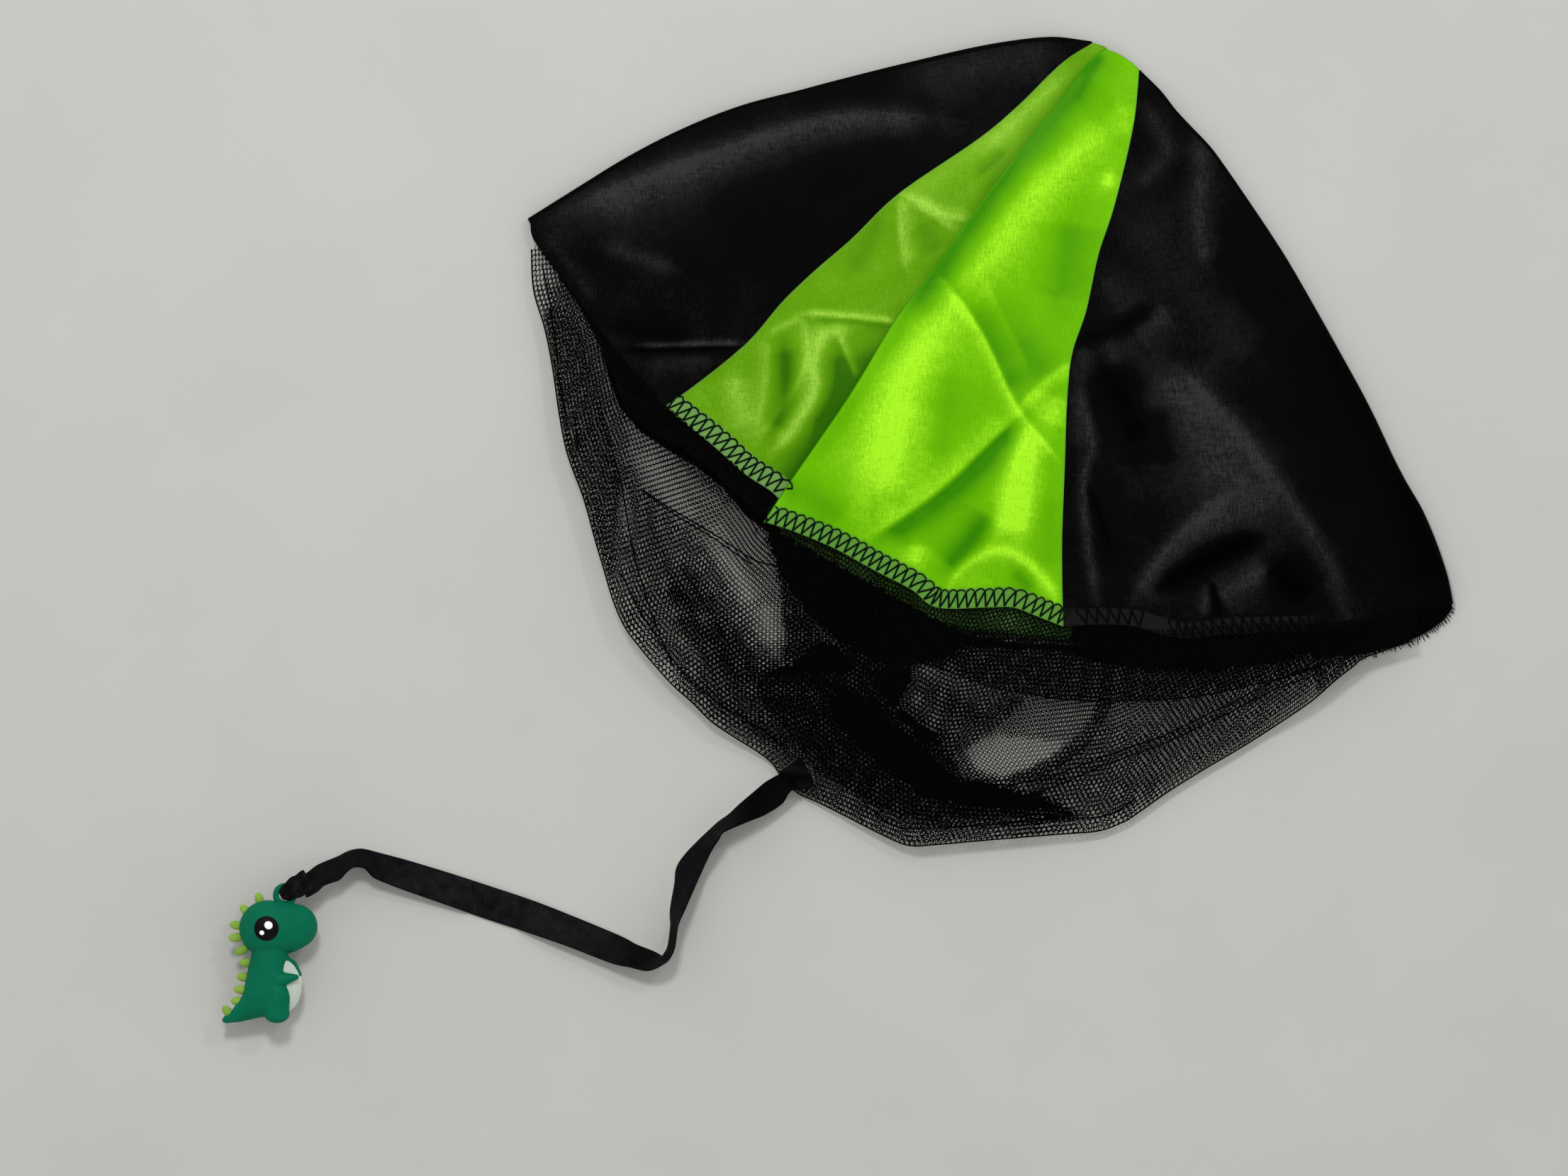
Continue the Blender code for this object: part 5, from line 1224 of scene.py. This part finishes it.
def addMass(bm, mass, segments=48, rings=32):
    middleSpot, half, depth, offset, turn = mass
    eyelet = onTable(charm["eyelet"])
    place = (eyelet[0] + (middleSpot[0] - charm["eyelet"][0]) * charmPixel,
             eyelet[1] + (charm["eyelet"][1] - middleSpot[1]) * charmPixel, charm["midplane"] + offset)
    matrix = Matrix.Translation(place) @ Matrix.Rotation(math.radians(turn), 4, "Z")
    matrix = matrix @ Matrix.Diagonal((half[0] * charmPixel, half[1] * charmPixel, depth, 1.0))
    one = bmesh.new()
    bmesh.ops.create_uvsphere(one, u_segments=segments, v_segments=rings, radius=1.0, matrix=matrix)
    mesh = bpy.data.meshes.new("mass")
    one.to_mesh(mesh)
    one.free()
    bm.from_mesh(mesh)
    bpy.data.meshes.remove(mesh)


def vinylFinish(name, low, high, rough, glow, glowColour):
    f = Finish(name)
    cloudy, fine = f.noise(f.places, 120, 4.0), f.noise(f.places, 1800, 2.0)
    return f.put(baseColor=f.ramp(cloudy, [(0.3, low), (0.7, high)]),
                 roughness=f.spread(cloudy, rough - 0.05, rough + 0.08), normal=f.bump(fine, 0.12, 0.0001),
                 subsurfaceWeight=glow, subsurfaceRadius=glowColour, subsurfaceScale=0.0012, specularIorLevel=0.045)


greenVinyl = vinylFinish("greenVinyl", (0.0004, 0.118, 0.060), (0.0015, 0.142, 0.072), 0.5, 0.12, (0.2, 1.0, 0.7))
spikeVinyl = vinylFinish("limeVinyl", (0.175, 0.32, 0.045), (0.26, 0.42, 0.075), 0.38, 0.6, (0.8, 1.0, 0.2))
bellyVinyl = vinylFinish("paleVinyl", (0.44, 0.52, 0.44), (0.54, 0.62, 0.54), 0.45, 0.2, (1.0, 1.0, 0.9))
eyeVinyl = vinylFinish("eyeVinyl", (0.002, 0.0017, 0.0018), (0.007, 0.005, 0.005), 0.42, 0.0, (1.0, 1.0, 1.0))
glintVinyl = vinylFinish("glintVinyl", (0.84, 0.86, 0.86), (0.93, 0.94, 0.94), 0.30, 0.0, (1.0, 1.0, 1.0))


def makeCharmBody():
    bm = bmesh.new()
    for mass in bodyMasses:
        addMass(bm, mass)
    mesh = bpy.data.meshes.new("charmRough")
    bm.to_mesh(mesh)
    bm.free()
    rough = intoScene("charmRough", mesh)
    mould = rough.modifiers.new("mould", "REMESH")
    mould.mode = "VOXEL"
    mould.voxel_size = charm["voxel"]
    soften = rough.modifiers.new("soften", "SMOOTH")
    soften.factor = 0.5
    soften.iterations = charm["smoothing"]
    finished = bpy.data.meshes.new_from_object(rough.evaluated_get(bpy.context.evaluated_depsgraph_get()))
    bpy.data.objects.remove(rough)
    bm = bmesh.new()
    bm.from_mesh(finished)
    return finishPiece("charmBody", bm, [greenVinyl], "charm", ["charm_body"])


def makeMassPiece(name, mass, material, node, segments=40, rings=24):
    bm = bmesh.new()
    addMass(bm, mass, segments, rings)
    return finishPiece(name, bm, [material], "charm", [node])


makeCharmBody()
makeMassPiece("charmBelly", bellyMass, bellyVinyl, "charm_belly", 56, 36)
for index, (root, way) in enumerate(spikes):
    out = charm["spikeStand"] * charm["spikeHalf"][0]
    tip = (root[0] + out * math.cos(math.radians(way)), root[1] - out * math.sin(math.radians(way)))
    makeMassPiece(f"charmSpike{index + 1}", (tip, charm["spikeHalf"], charm["spikeDepth"], 0, way), spikeVinyl,
                  f"charm_spike_{index + 1}", 28, 16)
for side, word in ((1, "left"), (-1, "right")):
    half = charm["eyeRadius"] / charmPixel
    deep = charm["head"] - charm["eyeBack"]
    makeMassPiece("charmEye" + word.title(), (charm["eye"], (half, half), charm["eyeBulge"], side * deep, 0), eyeVinyl,
                  "charm_eye_" + word, 56, 20)
    for index, (spot, size) in enumerate(charm["glints"]):
        away = math.dist(spot, charm["eye"]) * charmPixel / charm["eyeRadius"]
        surface = deep + charm["eyeBulge"] * math.sqrt(1 - away * away)
        mass = (spot, (size / charmPixel, size / charmPixel), charm["glintBulge"], side * (surface - 0.0002), 0)
        makeMassPiece(f"charmGlint{word.title()}{index + 1}", mass, glintVinyl,
                      f"charm_glint_{word}_{index + 1}", 28, 12)

# the eyelet: a wire's round section, spun into a ring
bm = bmesh.new()
bmesh.ops.create_circle(bm, radius=charm["ringWire"], segments=20,
                        matrix=Matrix.Translation((charm["ringHole"] + charm["ringWire"], 0, 0))
                        @ Matrix.Rotation(math.pi / 2, 4, "X"))
bmesh.ops.spin(bm, geom=bm.edges[:], cent=(0, 0, 0), axis=(0, 0, 1), dvec=(0, 0, 0), angle=2 * math.pi, steps=56,
               use_merge=True, use_duplicate=False)
bmesh.ops.remove_doubles(bm, verts=bm.verts, dist=1e-6)
bmesh.ops.recalc_face_normals(bm, faces=bm.faces)
eyeletSpot = onTable(charm["eyelet"])
bmesh.ops.translate(bm, vec=(eyeletSpot[0], eyeletSpot[1], charm["midplane"]), verts=bm.verts)
finishPiece("charmRing", bm, [greenVinyl], "charm", ["charm_head_loop"])
print("charm made")
